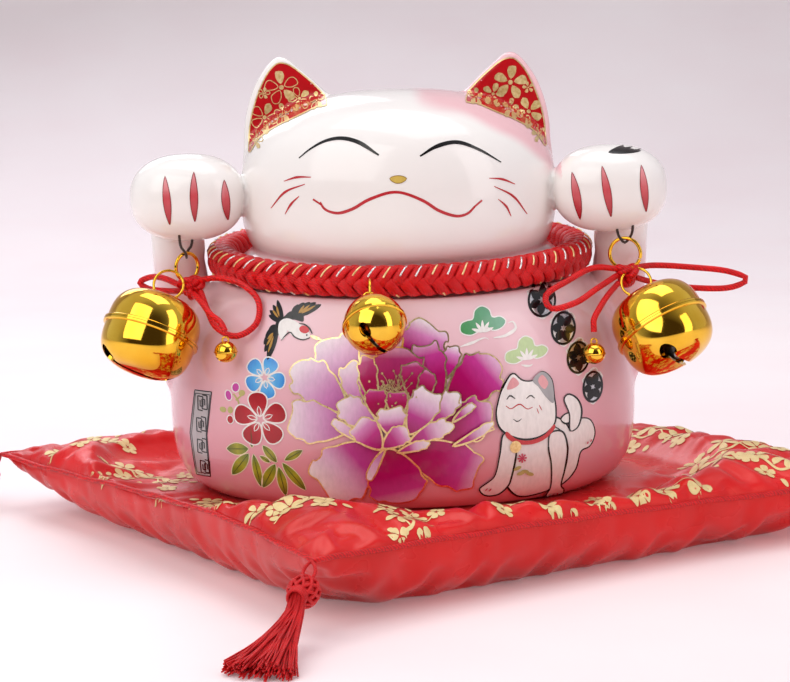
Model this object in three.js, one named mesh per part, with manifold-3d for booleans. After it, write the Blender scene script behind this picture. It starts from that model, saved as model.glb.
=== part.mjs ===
// A beckoning cat on a square cushion: hollow glazed cat, braided collar, three jingle bells on rings
// and satin bows, and a filled cushion with a tassel at each corner.
// Millimetres, +Z up. The origin is on the floor under the cat's axis; the cat faces -Y.
import * as THREE from 'three';
import { ConvexGeometry } from 'three/addons/geometries/ConvexGeometry.js';
import { mergeVertices } from 'three/addons/utils/BufferGeometryUtils.js';
import Module from 'manifold-3d';

const wasm = await Module();
wasm.setup();

// ---- fits -------------------------------------------------------------------------------------
const GAP = 0.3;                 // air between two pieces that touch
const SLIP = 0.35;               // extra room round a wire that swings in a hole

// ---- cushion ----------------------------------------------------------------------------------
const CUSHION_SIDE = 296;        // corner to corner along one edge
const CUSHION_TURN = 32;         // degrees, edge direction from +X
const CUSHION_X = 11;            // centre of the cushion
const CUSHION_Y = 16;
const CUSHION_BOW = 0.06;        // how far each edge curves in, as a share of the half side
const CUSHION_LEAN = -0.03;      // the seam and the loft are higher on the -X side
const SEAM_HEIGHT = 20;          // height of the seam above the floor
const TOP_RISE = 15;             // loft of the top panel above the seam
const FABRIC = 1.2;              // satin with its backing
const SEAT_HEIGHT = 24;          // how high the cat's base stands above the floor
const CUSHION_CELL = 24.7;       // size of one cell of the panels' mesh
const FILLING_RIM = 1;           // grid rows between the filling and the seam

// ---- cat --------------------------------------------------------------------------------------
const WALL = 5;                  // ceramic wall
const BODY_DEPTH_SHARE = 0.8;    // body depth over body width
const HEAD_DEPTH_SHARE = 0.86;
const BODY_HALF_WIDTH = 104.5;
const HEAD_HALF_WIDTH = 70;
const HEAD_Y = -5;
const HEAD_LOW = 97;
const HEAD_TOP = 175.5;
const ARM_INSET = 4.5;           // the arm's axis inside the body's widest line
const ARM_RADIUS = 11.2;
const PAW_INSET = 12;            // the paw's middle inside the body's widest line
const PAW_SETBACK = 61.6;        // and behind the body's front
const ARM_BEHIND_PAW = 18;
const PAW_Z = 131;
const CORDS_DRAWN_FOR = new THREE.Vector3(92.5, -22, 131);   // the paw that the hanging cords were drawn under
const PAW_SIZE = new THREE.Vector3(25, 21, 19);
const EAR_TIP = new THREE.Vector3(51.4, 2, 189);
const EAR_OUTER = new THREE.Vector3(61, 2, 144);
const EAR_INNER = new THREE.Vector3(27, 4, 163);
const EAR_BULGE = 6;             // how far the outer edge swells past a straight line
const EAR_THICKNESS = 15;
const EAR_TIP_RADIUS = 2.4;
const COIN_SLOT = new THREE.Vector3(36, 30, 5);
const COIN_SLOT_Z = 152;
const BUNG_HOLE_RADIUS = 17;
const BUNG_LIP_RADIUS = 21;
const BUNG_LIP_DEPTH = 2.6;
const BUNG_LENGTH = 9;

// ---- collar -----------------------------------------------------------------------------------
const ROPE_RADIUS = 7;
const COLLAR_INSET = 25;         // the rope's line inside the body's widest line
const COLLAR_SQUASH = 13.5;      // how much less its half depth is than its half width
const COLLAR_Z = 102;
const COLLAR_TILT = 4.6;         // how much lower the rope runs at the front than at the sides
const BINDING_LENGTH = 16;
const BINDING_THICKNESS = 1.1;
const COLLAR_END_GAP = 0.6;

// ---- bells ------------------------------------------------------------------------------------
const BELL_WALL = 1;
const BIG_BELL_RADIUS = 20.2;
const BIG_BELL_POWER = 3.1;      // barrel shaped: 2 would be a ball
const BIG_BELL_FLATTEN = 0.88;   // length over width
const BELLS_DRAWN_FOR = 29.576;  // middle to the far side of the eye, when the bells were placed
const COLLAR_BELL_DROP = 19.4;   // the collar bell's middle below the rope
const COLLAR_BELL_FORWARD = 24.5;
const COLLAR_BELL_RADIUS = 12.9;
const SMALL_BELL_RADIUS = 5.2;
const CRIMP_WIDTH = 1.1;
const CRIMP_HEIGHT = 1.3;
const WIRE_RADIUS = 0.8;
const EYE_WIRE_RADIUS = 0.6;
const EYE_RADIUS = 6.4;
const THREAD_RADIUS = 0.6;
const CORD_RADIUS = 1.35;
const KNOT_SIZE = new THREE.Vector3(6.2, 5.4, 6.4);

// ---- tassels ----------------------------------------------------------------------------------
const TASSEL_TURN = -8;          // degrees off the cushion's diagonal
const TASSEL_LOOP_LENGTH = 7;
const TASSEL_HEAD_HEIGHT = 15;   // the head hangs a little off the floor
const TASSEL_LOOP_WIDTH = 5;
const TASSEL_CORD_RADIUS = 0.9;
const TASSEL_HEAD_RADIUS = 5.8;
const SKIRT_LENGTH = 46;
const SKIRT_HALF_WIDTH = 15;
const SKIRT_HALF_HEIGHT = 4.2;

const ARM_X = BODY_HALF_WIDTH - ARM_INSET;
const PAW_X = BODY_HALF_WIDTH - PAW_INSET;
const PAW_Y = PAW_SETBACK - BODY_HALF_WIDTH * BODY_DEPTH_SHARE;
const ARM_Y = PAW_Y + ARM_BEHIND_PAW;
const COLLAR_HALF_WIDTH = BODY_HALF_WIDTH - COLLAR_INSET;
const COLLAR_HALF_DEPTH = COLLAR_HALF_WIDTH - COLLAR_SQUASH;

const colours = {
  white: 0xf2f0ee, gold: 0xd9a21b, red: 0xc8141c, cord: 0xd01a1e, black: 0x2a201e,
  rubber: 0xd8d4cc, filling: 0xf4f1ea, steel: 0x9aa0a4,
};

const vector = (x, y, z) => new THREE.Vector3(x, y, z);
const radians = THREE.MathUtils.degToRad;

function finish(colour, roughness, metalness = 0) {
  return new THREE.MeshStandardMaterial({ color: colour, roughness, metalness });
}

const materials = {
  glaze: finish(colours.white, 0.12),
  gold: finish(colours.gold, 0.22, 1),
  satin: finish(colours.red, 0.45),
  cord: finish(colours.cord, 0.5),
  thread: finish(colours.black, 0.7),
  rubber: finish(colours.rubber, 0.8),
  filling: finish(colours.filling, 0.95),
  steel: finish(colours.steel, 0.35, 1),
};

const model = new THREE.Group();

function put(name, geometry, material, parent = model) {
  const mesh = new THREE.Mesh(geometry, material);
  mesh.name = name;
  parent.add(mesh);
  return mesh;
}

// ---- solids -----------------------------------------------------------------------------------

// A closed geometry as a manifold solid.
function solid(geometry) {
  const bare = new THREE.BufferGeometry();
  bare.setAttribute('position', geometry.getAttribute('position').clone());
  bare.setIndex(geometry.getIndex());
  const welded = mergeVertices(bare, 1e-5);
  return new wasm.Manifold(new wasm.Mesh({
    numProp: 3,
    vertProperties: new Float32Array(welded.getAttribute('position').array),
    triVerts: new Uint32Array(welded.getIndex().array),
  }));
}

// A manifold solid as a geometry.
function geometryOf(shape) {
  const mesh = shape.getMesh();
  const geometry = new THREE.BufferGeometry();
  geometry.setAttribute('position', new THREE.BufferAttribute(new Float32Array(mesh.vertProperties), 3));
  geometry.setIndex(new THREE.BufferAttribute(new Uint32Array(mesh.triVerts), 1));
  geometry.computeVertexNormals();
  return geometry;
}

// A profile of [radius, height] points turned round +Z.
function turned(points, segments) {
  const profile = points.map(([radius, height]) => new THREE.Vector2(radius, height));
  return new THREE.LatheGeometry(profile, segments).rotateX(Math.PI / 2);
}

// A smooth outline through a few [radius, height] points, ends kept.
function smoothProfile(points, count) {
  const curve = new THREE.SplineCurve(points.map(([r, z]) => new THREE.Vector2(r, z)));
  const smooth = curve.getPoints(count).map((p) => [Math.max(p.x, 0), p.y]);
  smooth[0][0] = points[0][0];
  smooth[count][0] = points[points.length - 1][0];
  return smooth;
}

// An ellipsoid whose sides are a little fuller than a sphere's when power is above 2.
function egg(centre, size, power, across, down) {
  const geometry = new THREE.SphereGeometry(1, across, down).rotateX(Math.PI / 2);
  const position = geometry.getAttribute('position');
  for (let i = 0; i < position.count; i += 1) {
    const p = vector(position.getX(i), position.getY(i), position.getZ(i));
    const sum = Math.abs(p.x) ** power + Math.abs(p.y) ** power + Math.abs(p.z) ** power;
    p.multiplyScalar(sum ** (-1 / power)).multiply(size).add(centre);
    position.setXYZ(i, p.x, p.y, p.z);
  }
  return geometry;
}

// A round bar along a path, with flat ends.
function bar(path, radius, steps, sides = 8) {
  const section = new THREE.Shape();
  for (let i = 0; i < sides; i += 1) {
    const angle = (2 * Math.PI * i) / sides;
    const x = radius * Math.cos(angle);
    const y = radius * Math.sin(angle);
    if (i === 0) section.moveTo(x, y);
    else section.lineTo(x, y);
  }
  section.closePath();
  return new THREE.ExtrudeGeometry(section, { steps, extrudePath: path, bevelEnabled: false });
}

// A round bar whose path closes on itself, so it has no ends.
function hoop(points, radius, steps, sides = 6) {
  const path = new THREE.CatmullRomCurve3(points, true);
  return new THREE.TubeGeometry(path, steps, radius, sides, true);
}

// A wire ring about a centre, with the given plane normal.
function ring(centre, normal, radius, wire, around = 20, sides = 6) {
  const turn = new THREE.Quaternion().setFromUnitVectors(vector(0, 0, 1), normal.clone().normalize());
  return new THREE.TorusGeometry(radius, wire, sides, around)
    .applyQuaternion(turn)
    .translate(centre.x, centre.y, centre.z);
}

// ---- cushion ----------------------------------------------------------------------------------

const seatX = BODY_HALF_WIDTH + 6;
const seatY = seatX * BODY_DEPTH_SHARE + 4;
const seatTop = SEAT_HEIGHT - GAP;
const cushionGrid = 2 * Math.round(CUSHION_SIDE / 2 / CUSHION_CELL);

function cushionPoint(u, v) {
  const half = CUSHION_SIDE / 2;
  const x = half * u * (1 - CUSHION_BOW * (1 - v * v));
  const y = half * v * (1 - CUSHION_BOW * (1 - u * u));
  return new THREE.Vector2(x, y)
    .rotateAround(new THREE.Vector2(), radians(CUSHION_TURN))
    .add(new THREE.Vector2(CUSHION_X, CUSHION_Y));
}

// The seam's height, which leans across the cushion.
function seamHeight(u, v) {
  return SEAM_HEIGHT + CUSHION_LEAN * cushionPoint(u, v).x;
}

// 0 on the seam, 1 in the middle.
function loft(u, v) {
  return Math.sqrt(Math.max((1 - u ** 4) * (1 - v ** 4), 0));
}

// The top of the cushion: lofted, pressed flat under the cat.
function topHeight(u, v) {
  const p = cushionPoint(u, v);
  const away = Math.hypot(p.x / seatX, p.y / seatY);
  const pressed = seatTop + 30 * THREE.MathUtils.smoothstep(away, 1.02, 1.7);
  const lofted = seamHeight(u, v) + FABRIC + GAP / 2 + TOP_RISE * loft(u, v);
  return Math.max(Math.min(lofted, pressed), bottomHeight(u, v) + 2 * FABRIC + GAP);
}

// The underside: lofted, pressed flat on the floor.
function bottomHeight(u, v) {
  const start = seamHeight(u, v) - FABRIC - GAP / 2;
  return Math.max(start * (1 - 1.45 * loft(u, v)), 0);
}

// A closed sheet between two heights over the cushion's square, less some rows at the rim.
function slab(upper, lower, rim) {
  const last = cushionGrid - 2 * rim;
  const count = last + 1;
  const share = (k) => (2 * (k + rim)) / cushionGrid - 1;
  const points = [];
  for (const height of [upper, lower]) {
    for (let j = 0; j < count; j += 1) {
      for (let i = 0; i < count; i += 1) {
        const p = cushionPoint(share(i), share(j));
        points.push(p.x, p.y, height(share(i), share(j)));
      }
    }
  }
  const faces = [];
  const quad = (a, b, c, d) => faces.push(a, b, c, a, c, d);
  const at = (i, j, layer) => layer * count * count + j * count + i;
  for (let j = 0; j < last; j += 1) {
    for (let i = 0; i < last; i += 1) {
      quad(at(i, j, 0), at(i + 1, j, 0), at(i + 1, j + 1, 0), at(i, j + 1, 0));
      quad(at(i, j, 1), at(i, j + 1, 1), at(i + 1, j + 1, 1), at(i + 1, j, 1));
    }
  }
  for (let k = 0; k < last; k += 1) {
    quad(at(k, 0, 1), at(k + 1, 0, 1), at(k + 1, 0, 0), at(k, 0, 0));
    quad(at(last, k, 1), at(last, k + 1, 1), at(last, k + 1, 0), at(last, k, 0));
    quad(at(k + 1, last, 1), at(k, last, 1), at(k, last, 0), at(k + 1, last, 0));
    quad(at(0, k + 1, 1), at(0, k, 1), at(0, k, 0), at(0, k + 1, 0));
  }
  const geometry = new THREE.BufferGeometry();
  geometry.setAttribute('position', new THREE.Float32BufferAttribute(points, 3));
  geometry.setIndex(faces);
  geometry.computeVertexNormals();
  return geometry;
}

function cushion() {
  const topInside = (u, v) => topHeight(u, v) - FABRIC;
  const bottomInside = (u, v) => bottomHeight(u, v) + FABRIC;
  put('cushion_top_panel', slab(topHeight, topInside, 0), materials.satin);
  put('cushion_bottom_panel', slab(bottomInside, bottomHeight, 0), materials.satin);
  const fillTop = (u, v) => topInside(u, v) - GAP;
  const fillBottom = (u, v) => bottomInside(u, v) + GAP;
  put('cushion_filling', slab(fillTop, fillBottom, FILLING_RIM), materials.filling);
}

// ---- tassels ----------------------------------------------------------------------------------

// One tassel lies on the floor and points away from its corner.
function tassel(name, u, v) {
  const corner = cushionPoint(u, v);
  const outward = corner.clone().sub(new THREE.Vector2(CUSHION_X, CUSHION_Y));
  const group = new THREE.Group();
  group.position.set(corner.x, corner.y, 0);
  group.rotation.z = Math.atan2(outward.y, outward.x) + radians(TASSEL_TURN);
  model.add(group);

  const seam = seamHeight(u, v);
  const headX = TASSEL_LOOP_LENGTH + TASSEL_HEAD_RADIUS * 0.4;
  const headZ = Math.min(TASSEL_HEAD_HEIGHT, seam - TASSEL_HEAD_RADIUS);
  const start = GAP + TASSEL_CORD_RADIUS;
  const half = TASSEL_LOOP_WIDTH / 2;
  const middle = TASSEL_LOOP_LENGTH * 0.5;
  const lowX = headX - TASSEL_HEAD_RADIUS * 0.45;
  const lowZ = headZ + TASSEL_HEAD_RADIUS * 0.45;
  const loopPoints = [
    vector(start, 0, seam),
    vector(middle, half, (seam + lowZ) / 2),
    vector(lowX, 0, lowZ),
    vector(middle, -half, (seam + lowZ) / 2),
  ];
  const loopRoom = solid(hoop(loopPoints, TASSEL_CORD_RADIUS + GAP, 14, 6));
  put(`${name}_tassel_loop`, hoop(loopPoints, TASSEL_CORD_RADIUS, 14, 6), materials.cord, group);

  const head = solid(new THREE.SphereGeometry(TASSEL_HEAD_RADIUS, 14, 9).translate(headX, 0, headZ));
  put(`${name}_tassel_head`, geometryOf(head.subtract(loopRoom)), materials.cord, group);

  const neck = TASSEL_HEAD_RADIUS * 0.6;
  const skirtStart = headX + TASSEL_HEAD_RADIUS * 0.8;
  const skirt = turned([
    [0, 0],
    [neck, 0],
    [neck * 1.5, SKIRT_LENGTH * 0.25],
    [SKIRT_HALF_WIDTH * 0.8, SKIRT_LENGTH * 0.7],
    [SKIRT_HALF_WIDTH, SKIRT_LENGTH],
    [0, SKIRT_LENGTH],
  ], 14);
  const flatten = SKIRT_HALF_HEIGHT / SKIRT_HALF_WIDTH;
  const position = skirt.getAttribute('position');
  for (let i = 0; i < position.count; i += 1) {
    const along = Math.max(position.getZ(i), 0);
    const settled = Math.sqrt(along / SKIRT_LENGTH);
    const share = THREE.MathUtils.lerp(1, flatten, settled);
    const height = THREE.MathUtils.lerp(headZ, SKIRT_HALF_HEIGHT + GAP, settled);
    position.setXYZ(i, skirtStart + along, position.getY(i), height - position.getX(i) * share);
  }
  const skirtSolid = solid(skirt);
  const headRoom = solid(new THREE.SphereGeometry(TASSEL_HEAD_RADIUS + GAP, 14, 9).translate(headX, 0, headZ));
  put(`${name}_tassel_skirt`, geometryOf(skirtSolid.subtract(headRoom)), materials.cord, group);
}

// ---- cat --------------------------------------------------------------------------------------

// An outline drawn at any width, brought to the width wanted.
function widened(outline, half) {
  const widest = Math.max(...outline.map(([r]) => r));
  return outline.map(([r, z]) => [(r * half) / widest, z]);
}

// Half width over height.
const bodyOutline = widened([
  [91, 0], [97.5, 5], [102.5, 15], [104.5, 30], [104, 45], [101.5, 60],
  [96.5, 74], [89, 86], [80, 95], [70, 103], [60, 110],
], BODY_HALF_WIDTH);
const headOutline = widened([
  [50, HEAD_LOW], [63.5, 105], [68.7, 115], [70, 127], [69, 142], [63.5, 155],
  [53, 164.5], [38, 171], [20, 174.6], [0, HEAD_TOP],
], HEAD_HALF_WIDTH);

function inward(outline, wall, low, high) {
  return outline.map(([r, z]) => [Math.max(r - wall, 0), THREE.MathUtils.clamp(z, low, high)]);
}

function squashed(points, segments, share, y) {
  return turned(points, segments).scale(1, share, 1).translate(0, y, 0);
}

function bodySolid(wall, segments, steps) {
  const share = (BODY_HALF_WIDTH * BODY_DEPTH_SHARE - wall) / (BODY_HALF_WIDTH - wall);
  const side = smoothProfile(inward(bodyOutline, wall, wall + 1.5 * Math.sign(wall), 110), steps);
  const low = side[0][1];
  const high = side[side.length - 1][1];
  return solid(squashed([[0, low], ...side, [0, high]], segments, share, 0));
}

function headSolid(wall, segments, steps) {
  const share = (HEAD_HALF_WIDTH * HEAD_DEPTH_SHARE - wall) / (HEAD_HALF_WIDTH - wall);
  const middle = (HEAD_LOW + HEAD_TOP) / 2;
  const shrink = 1 - wall / (HEAD_TOP - middle);
  const outline = headOutline.map(([r, z]) => [r * (1 - wall / HEAD_HALF_WIDTH), middle + (z - middle) * shrink]);
  const side = smoothProfile(outline, steps);
  return solid(squashed([[0, side[0][1]], ...side], segments, share, HEAD_Y));
}

function armSolid(side, radius, low, high) {
  const path = new THREE.LineCurve3(vector(side * (ARM_X - 4), ARM_Y + 2, low), vector(side * ARM_X, ARM_Y, high));
  return solid(bar(path, radius, 1, 16));
}

function pawSolid(side, wall, across, down) {
  const size = PAW_SIZE.clone().subScalar(wall);
  return solid(egg(vector(side * PAW_X, PAW_Y, PAW_Z), size, 2.35, across, down));
}

function earSolid(side) {
  const points = [];
  const ball = new THREE.IcosahedronGeometry(1, 1).getAttribute('position');
  const half = EAR_THICKNESS / 2;
  const corners = [
    [EAR_TIP, EAR_TIP_RADIUS],
    [EAR_OUTER, half],
    [EAR_INNER, half],
    [EAR_OUTER.clone().lerp(EAR_INNER, 0.5).add(vector(0, half, 0)), half],
    [EAR_TIP.clone().lerp(EAR_OUTER, 0.5).add(vector(EAR_BULGE, 0, EAR_BULGE / 3)), EAR_TIP_RADIUS],
  ];
  for (const [centre, radius] of corners) {
    for (let i = 0; i < ball.count; i += 1) {
      const p = vector(ball.getX(i), ball.getY(i), ball.getZ(i)).multiplyScalar(radius).add(centre);
      points.push(vector(side * p.x, p.y, p.z));
    }
  }
  return solid(new ConvexGeometry(points));
}

const collarPath = (() => {
  const points = [];
  const count = 24;
  const endAngle = Math.asin(COLLAR_END_GAP / 2 / COLLAR_HALF_WIDTH);
  for (let i = 0; i <= count; i += 1) {
    const angle = Math.PI / 2 + endAngle + ((2 * Math.PI - 2 * endAngle) * i) / count;
    const y = COLLAR_HALF_DEPTH * Math.sin(angle);
    points.push(vector(COLLAR_HALF_WIDTH * Math.cos(angle), y, COLLAR_Z + (COLLAR_TILT * y) / COLLAR_HALF_DEPTH));
  }
  return new THREE.CatmullRomCurve3(points);
})();

// The hanging rings, knots and bells of each side, drawn under a paw at CORDS_DRAWN_FOR.
const hangers = {
  left: {
    side: -1,
    ring: vector(-92.8, -33.5, 101.6),
    ringRadius: 6,
    ringTurn: 42,
    knot: vector(-91, -36.3, 93.4),
    bell: vector(-107.9, -51, 74.8),
    bellAxis: vector(0.354, 0.42, 0.935),
    bellTwist: 20,
    smallBell: vector(-75, -63.5, 68.4),
    loops: {
      back_loop: [vector(-96, -37.5, 94.2), vector(-104, -31, 96.8), vector(-110, -26, 96.5), vector(-114.5, -24, 94),
        vector(-111, -25, 91.5), vector(-103, -28.5, 90.7), vector(-95, -34, 91.2)],
      round_loop: [vector(-87.4, -36.8, 96), vector(-79, -42, 97.5), vector(-69, -47, 95.5), vector(-61, -54, 88.5),
        vector(-62, -60, 79.5), vector(-70.5, -60, 74.5), vector(-79, -55.5, 77.5), vector(-83.5, -47.5, 84.5),
        vector(-86.7, -39, 91.2)],
    },
    tail: [vector(-89.8, -40.6, 90.6), vector(-85.5, -48.5, 87.5), vector(-81.5, -55.5, 83.5),
      vector(-77, -61.5, 80.8), vector(-75.1, -63.4, 77.4)],
  },
  right: {
    side: 1,
    ring: vector(98, -33, 103),
    ringRadius: 6.8,
    ringTurn: -18,
    knot: vector(98.5, -34.5, 94.3),
    bell: vector(112, -50, 72.8),
    bellAxis: vector(-0.476, 0.5, 0.88),
    bellTwist: 70,
    smallBell: vector(82, -57.5, 63.2),
    loops: {
      long_loop: [vector(101.5, -32.5, 96.5), vector(110, -28, 97), vector(128, -25, 95.4), vector(145, -25, 93),
        vector(152.4, -25, 89.6), vector(146, -25, 86.3), vector(128, -24.5, 86.3), vector(113, -24.5, 88.6),
        vector(102.5, -31.5, 92.3)],
      flat_loop: [vector(94, -35.8, 96.8), vector(84, -40, 98), vector(72, -50, 94), vector(61.5, -57.5, 88),
        vector(63.5, -60, 83.5), vector(74, -57, 85), vector(84.5, -48, 90), vector(93.8, -37, 93.9)],
    },
    tail: [vector(93.6, -38.2, 90.8), vector(88.9, -45.3, 86.6), vector(85, -52.5, 82), vector(82.2, -56.2, 77.5),
      vector(82.1, -57.2, 72.4)],
  },
};

// How far the paw of one side stands from where its cords were drawn.
function pawShift(hanger) {
  return vector(
    hanger.side * (PAW_X - CORDS_DRAWN_FOR.x), PAW_Y - CORDS_DRAWN_FOR.y, PAW_Z - CORDS_DRAWN_FOR.z);
}

// The black thread loop: under the ring's top wire, up through two holes in the paw and across inside.
function threadPoints(hanger) {
  const top = hanger.ring.clone().add(vector(0, 0, hanger.ringRadius));
  const turn = radians(hanger.ringTurn);
  const along = vector(Math.cos(turn), Math.sin(turn), 0);
  const through = vector(-Math.sin(turn), Math.cos(turn), 0);
  const reach = WIRE_RADIUS + THREAD_RADIUS + GAP + 0.25;
  const at = (a, t, z) => top.clone().addScaledVector(along, a).addScaledVector(through, t).add(vector(0, 0, z));
  const inside = CORDS_DRAWN_FOR.z - 7 - top.z;
  return [
    at(0, 0, -reach),
    at(1.9, reach, 0.4),
    at(3.2, 0.5, 3),
    at(3.3, 0, inside - 5),
    at(1.6, 0, inside),
    at(-1.6, 0, inside),
    at(-3.3, 0, inside - 5),
    at(-3.2, -0.5, 3),
    at(-1.9, -reach, 0.4),
  ];
}

function threadHoles(hanger) {
  const points = threadPoints(hanger);
  const radius = THREAD_RADIUS + 2 * SLIP;
  return [points[3], points[6]].map((p) => {
    const path = new THREE.LineCurve3(vector(p.x, p.y, p.z - 13), vector(p.x, p.y, p.z + 4));
    return solid(bar(path, radius, 1, 8)).translate(pawShift(hanger).toArray());
  });
}

function catBody(group) {
  let outer = bodySolid(0, 32, 11).add(headSolid(0, 30, 10));
  let inner = bodySolid(WALL, 18, 6).add(headSolid(WALL, 16, 6));
  for (const side of [-1, 1]) {
    outer = outer.add(armSolid(side, ARM_RADIUS, 52, PAW_Z)).add(pawSolid(side, 0, 16, 9)).add(earSolid(side));
    inner = inner.add(armSolid(side, ARM_RADIUS - WALL, 66, PAW_Z)).add(pawSolid(side, WALL - 1, 10, 6));
  }
  let shape = outer.subtract(inner);
  shape = shape.subtract(solid(bar(collarPath, ROPE_RADIUS + GAP, 42, 8)));
  shape = shape.subtract(bindingSolid(0, 1));
  shape = shape.subtract(solid(new THREE.BoxGeometry(COIN_SLOT.x, COIN_SLOT.y, COIN_SLOT.z)
    .translate(0, HEAD_Y + HEAD_HALF_WIDTH * HEAD_DEPTH_SHARE - WALL, COIN_SLOT_Z)));
  shape = shape.subtract(solid(turned([
    [0, -1], [BUNG_LIP_RADIUS, -1], [BUNG_LIP_RADIUS, BUNG_LIP_DEPTH],
    [BUNG_HOLE_RADIUS, BUNG_LIP_DEPTH], [BUNG_HOLE_RADIUS, 2 * WALL], [0, 2 * WALL],
  ], 28)));
  for (const hanger of Object.values(hangers)) {
    for (const hole of threadHoles(hanger)) shape = shape.subtract(hole);
  }
  put('cat_body', geometryOf(shape), materials.glaze, group);
}

function baseStopper(group) {
  const lip = BUNG_LIP_RADIUS - GAP;
  const plug = BUNG_HOLE_RADIUS - GAP;
  const seat = BUNG_LIP_DEPTH - GAP;
  put('base_stopper', turned([
    [0, GAP], [lip, GAP], [lip, seat], [plug, seat], [plug, BUNG_LENGTH - 1], [plug - 1, BUNG_LENGTH], [0, BUNG_LENGTH],
  ], 28), materials.rubber, group);
}

// ---- collar -----------------------------------------------------------------------------------

// The whipping round the joint of the rope at the back; with room set it is the space it takes.
function bindingSolid(inside, room) {
  const half = BINDING_LENGTH / 2 + (room ? GAP : 0);
  const y = COLLAR_HALF_DEPTH;
  const z = COLLAR_Z + COLLAR_TILT;
  const outer = ROPE_RADIUS + GAP + BINDING_THICKNESS + (room ? GAP : 0);
  const sag = (half * half * COLLAR_HALF_DEPTH) / (2 * COLLAR_HALF_WIDTH * COLLAR_HALF_WIDTH);
  const path = new THREE.QuadraticBezierCurve3(
    vector(-half, y - sag, z), vector(0, y + sag, z), vector(half, y - sag, z));
  const sleeve = solid(bar(path, outer, 5, 16));
  return inside ? sleeve.subtract(inside) : sleeve;
}

const collarBell = (() => {
  const centre = vector(-11.3, -COLLAR_HALF_DEPTH - COLLAR_BELL_FORWARD, COLLAR_Z - COLLAR_BELL_DROP);
  const axis = vector(-0.15, 0.72, 0.68).normalize();
  const eye = centre.clone().addScaledVector(axis, COLLAR_BELL_RADIUS + 1.4);
  const towards = vector(0.08, 0.97, 0.2).normalize();
  const ringRadius = 5.8;
  const ringCentre = eye.clone().addScaledVector(towards, ringRadius);
  return { centre, axis, eye, towards, ringRadius, ringCentre };
})();

function collar(group) {
  const normal = vector(1, 0, 0);
  const room = solid(ring(collarBell.ringCentre, normal, collarBell.ringRadius, EYE_WIRE_RADIUS + SLIP, 18, 6));
  const rope = solid(bar(collarPath, ROPE_RADIUS, 42, 8));
  put('collar_rope', geometryOf(rope.subtract(room)), materials.cord, group);
  const bore = solid(bar(collarPath, ROPE_RADIUS + GAP, 42, 8));
  const mirrored = solid(bar(new THREE.LineCurve3(
    vector(-4, COLLAR_HALF_DEPTH, COLLAR_Z + COLLAR_TILT), vector(4, COLLAR_HALF_DEPTH, COLLAR_Z + COLLAR_TILT)),
  ROPE_RADIUS + GAP, 1, 8));
  put('collar_binding', geometryOf(bindingSolid(bore.add(mirrored), 0)), materials.cord, group);
  put('collar_bell_ring', ring(collarBell.ringCentre, normal, collarBell.ringRadius, EYE_WIRE_RADIUS, 20, 6), materials.gold, group);
}

// ---- bells ------------------------------------------------------------------------------------

// Outline of half a bell, from the crown on the axis to the rim; fuller than a ball when power is above 2.
function bellQuarter(radius, power, flatten, steps) {
  const points = [];
  for (let i = 0; i <= steps; i += 1) {
    const angle = (Math.PI / 2) * (1 - i / steps);
    const c = Math.cos(angle) ** (2 / power);
    const s = Math.sin(angle) ** (2 / power);
    points.push([i === 0 ? 0 : radius * c, i === steps ? GAP / 2 : Math.max(radius * flatten * s, GAP / 2)]);
  }
  return points;
}

function bellHalf(radius, power, flatten, segments, steps) {
  const outside = bellQuarter(radius, power, flatten, steps);
  const inside = bellQuarter(radius - BELL_WALL, power, (radius * flatten - BELL_WALL) / (radius - BELL_WALL), steps);
  const top = outside.slice(0, -1).filter(([, z]) => z > CRIMP_HEIGHT + 0.4);
  const crimp = radius + CRIMP_WIDTH * Math.min(1, radius / 15);
  return turned([
    ...inside,
    [crimp, GAP / 2], [crimp, CRIMP_HEIGHT], [radius, CRIMP_HEIGHT],
    ...top.reverse(),
  ], segments);
}

// The sound slot: a slit over the bottom that ends in a round hole on each side.
function soundSlot(radius, flatten) {
  const width = radius * 0.13;
  const spread = radius * 0.72;
  let slot = solid(new THREE.BoxGeometry(2 * spread, width, radius).translate(0, 0, radius * (flatten + 0.05)));
  for (const side of [-1, 1]) {
    const hole = new THREE.CylinderGeometry(width * 1.35, width * 1.35, radius, 12).rotateX(Math.PI / 2);
    slot = slot.add(solid(hole.translate(side * spread, 0, radius * (flatten - 0.05))));
  }
  return slot;
}

// How far along its axis a bell's eye has its middle; the wire is sunk a little into the crown.
function eyeHeight(radius, flatten, eyeRadius) {
  return radius * flatten + eyeRadius - Math.min(eyeRadius * 0.35, 1);
}

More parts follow.
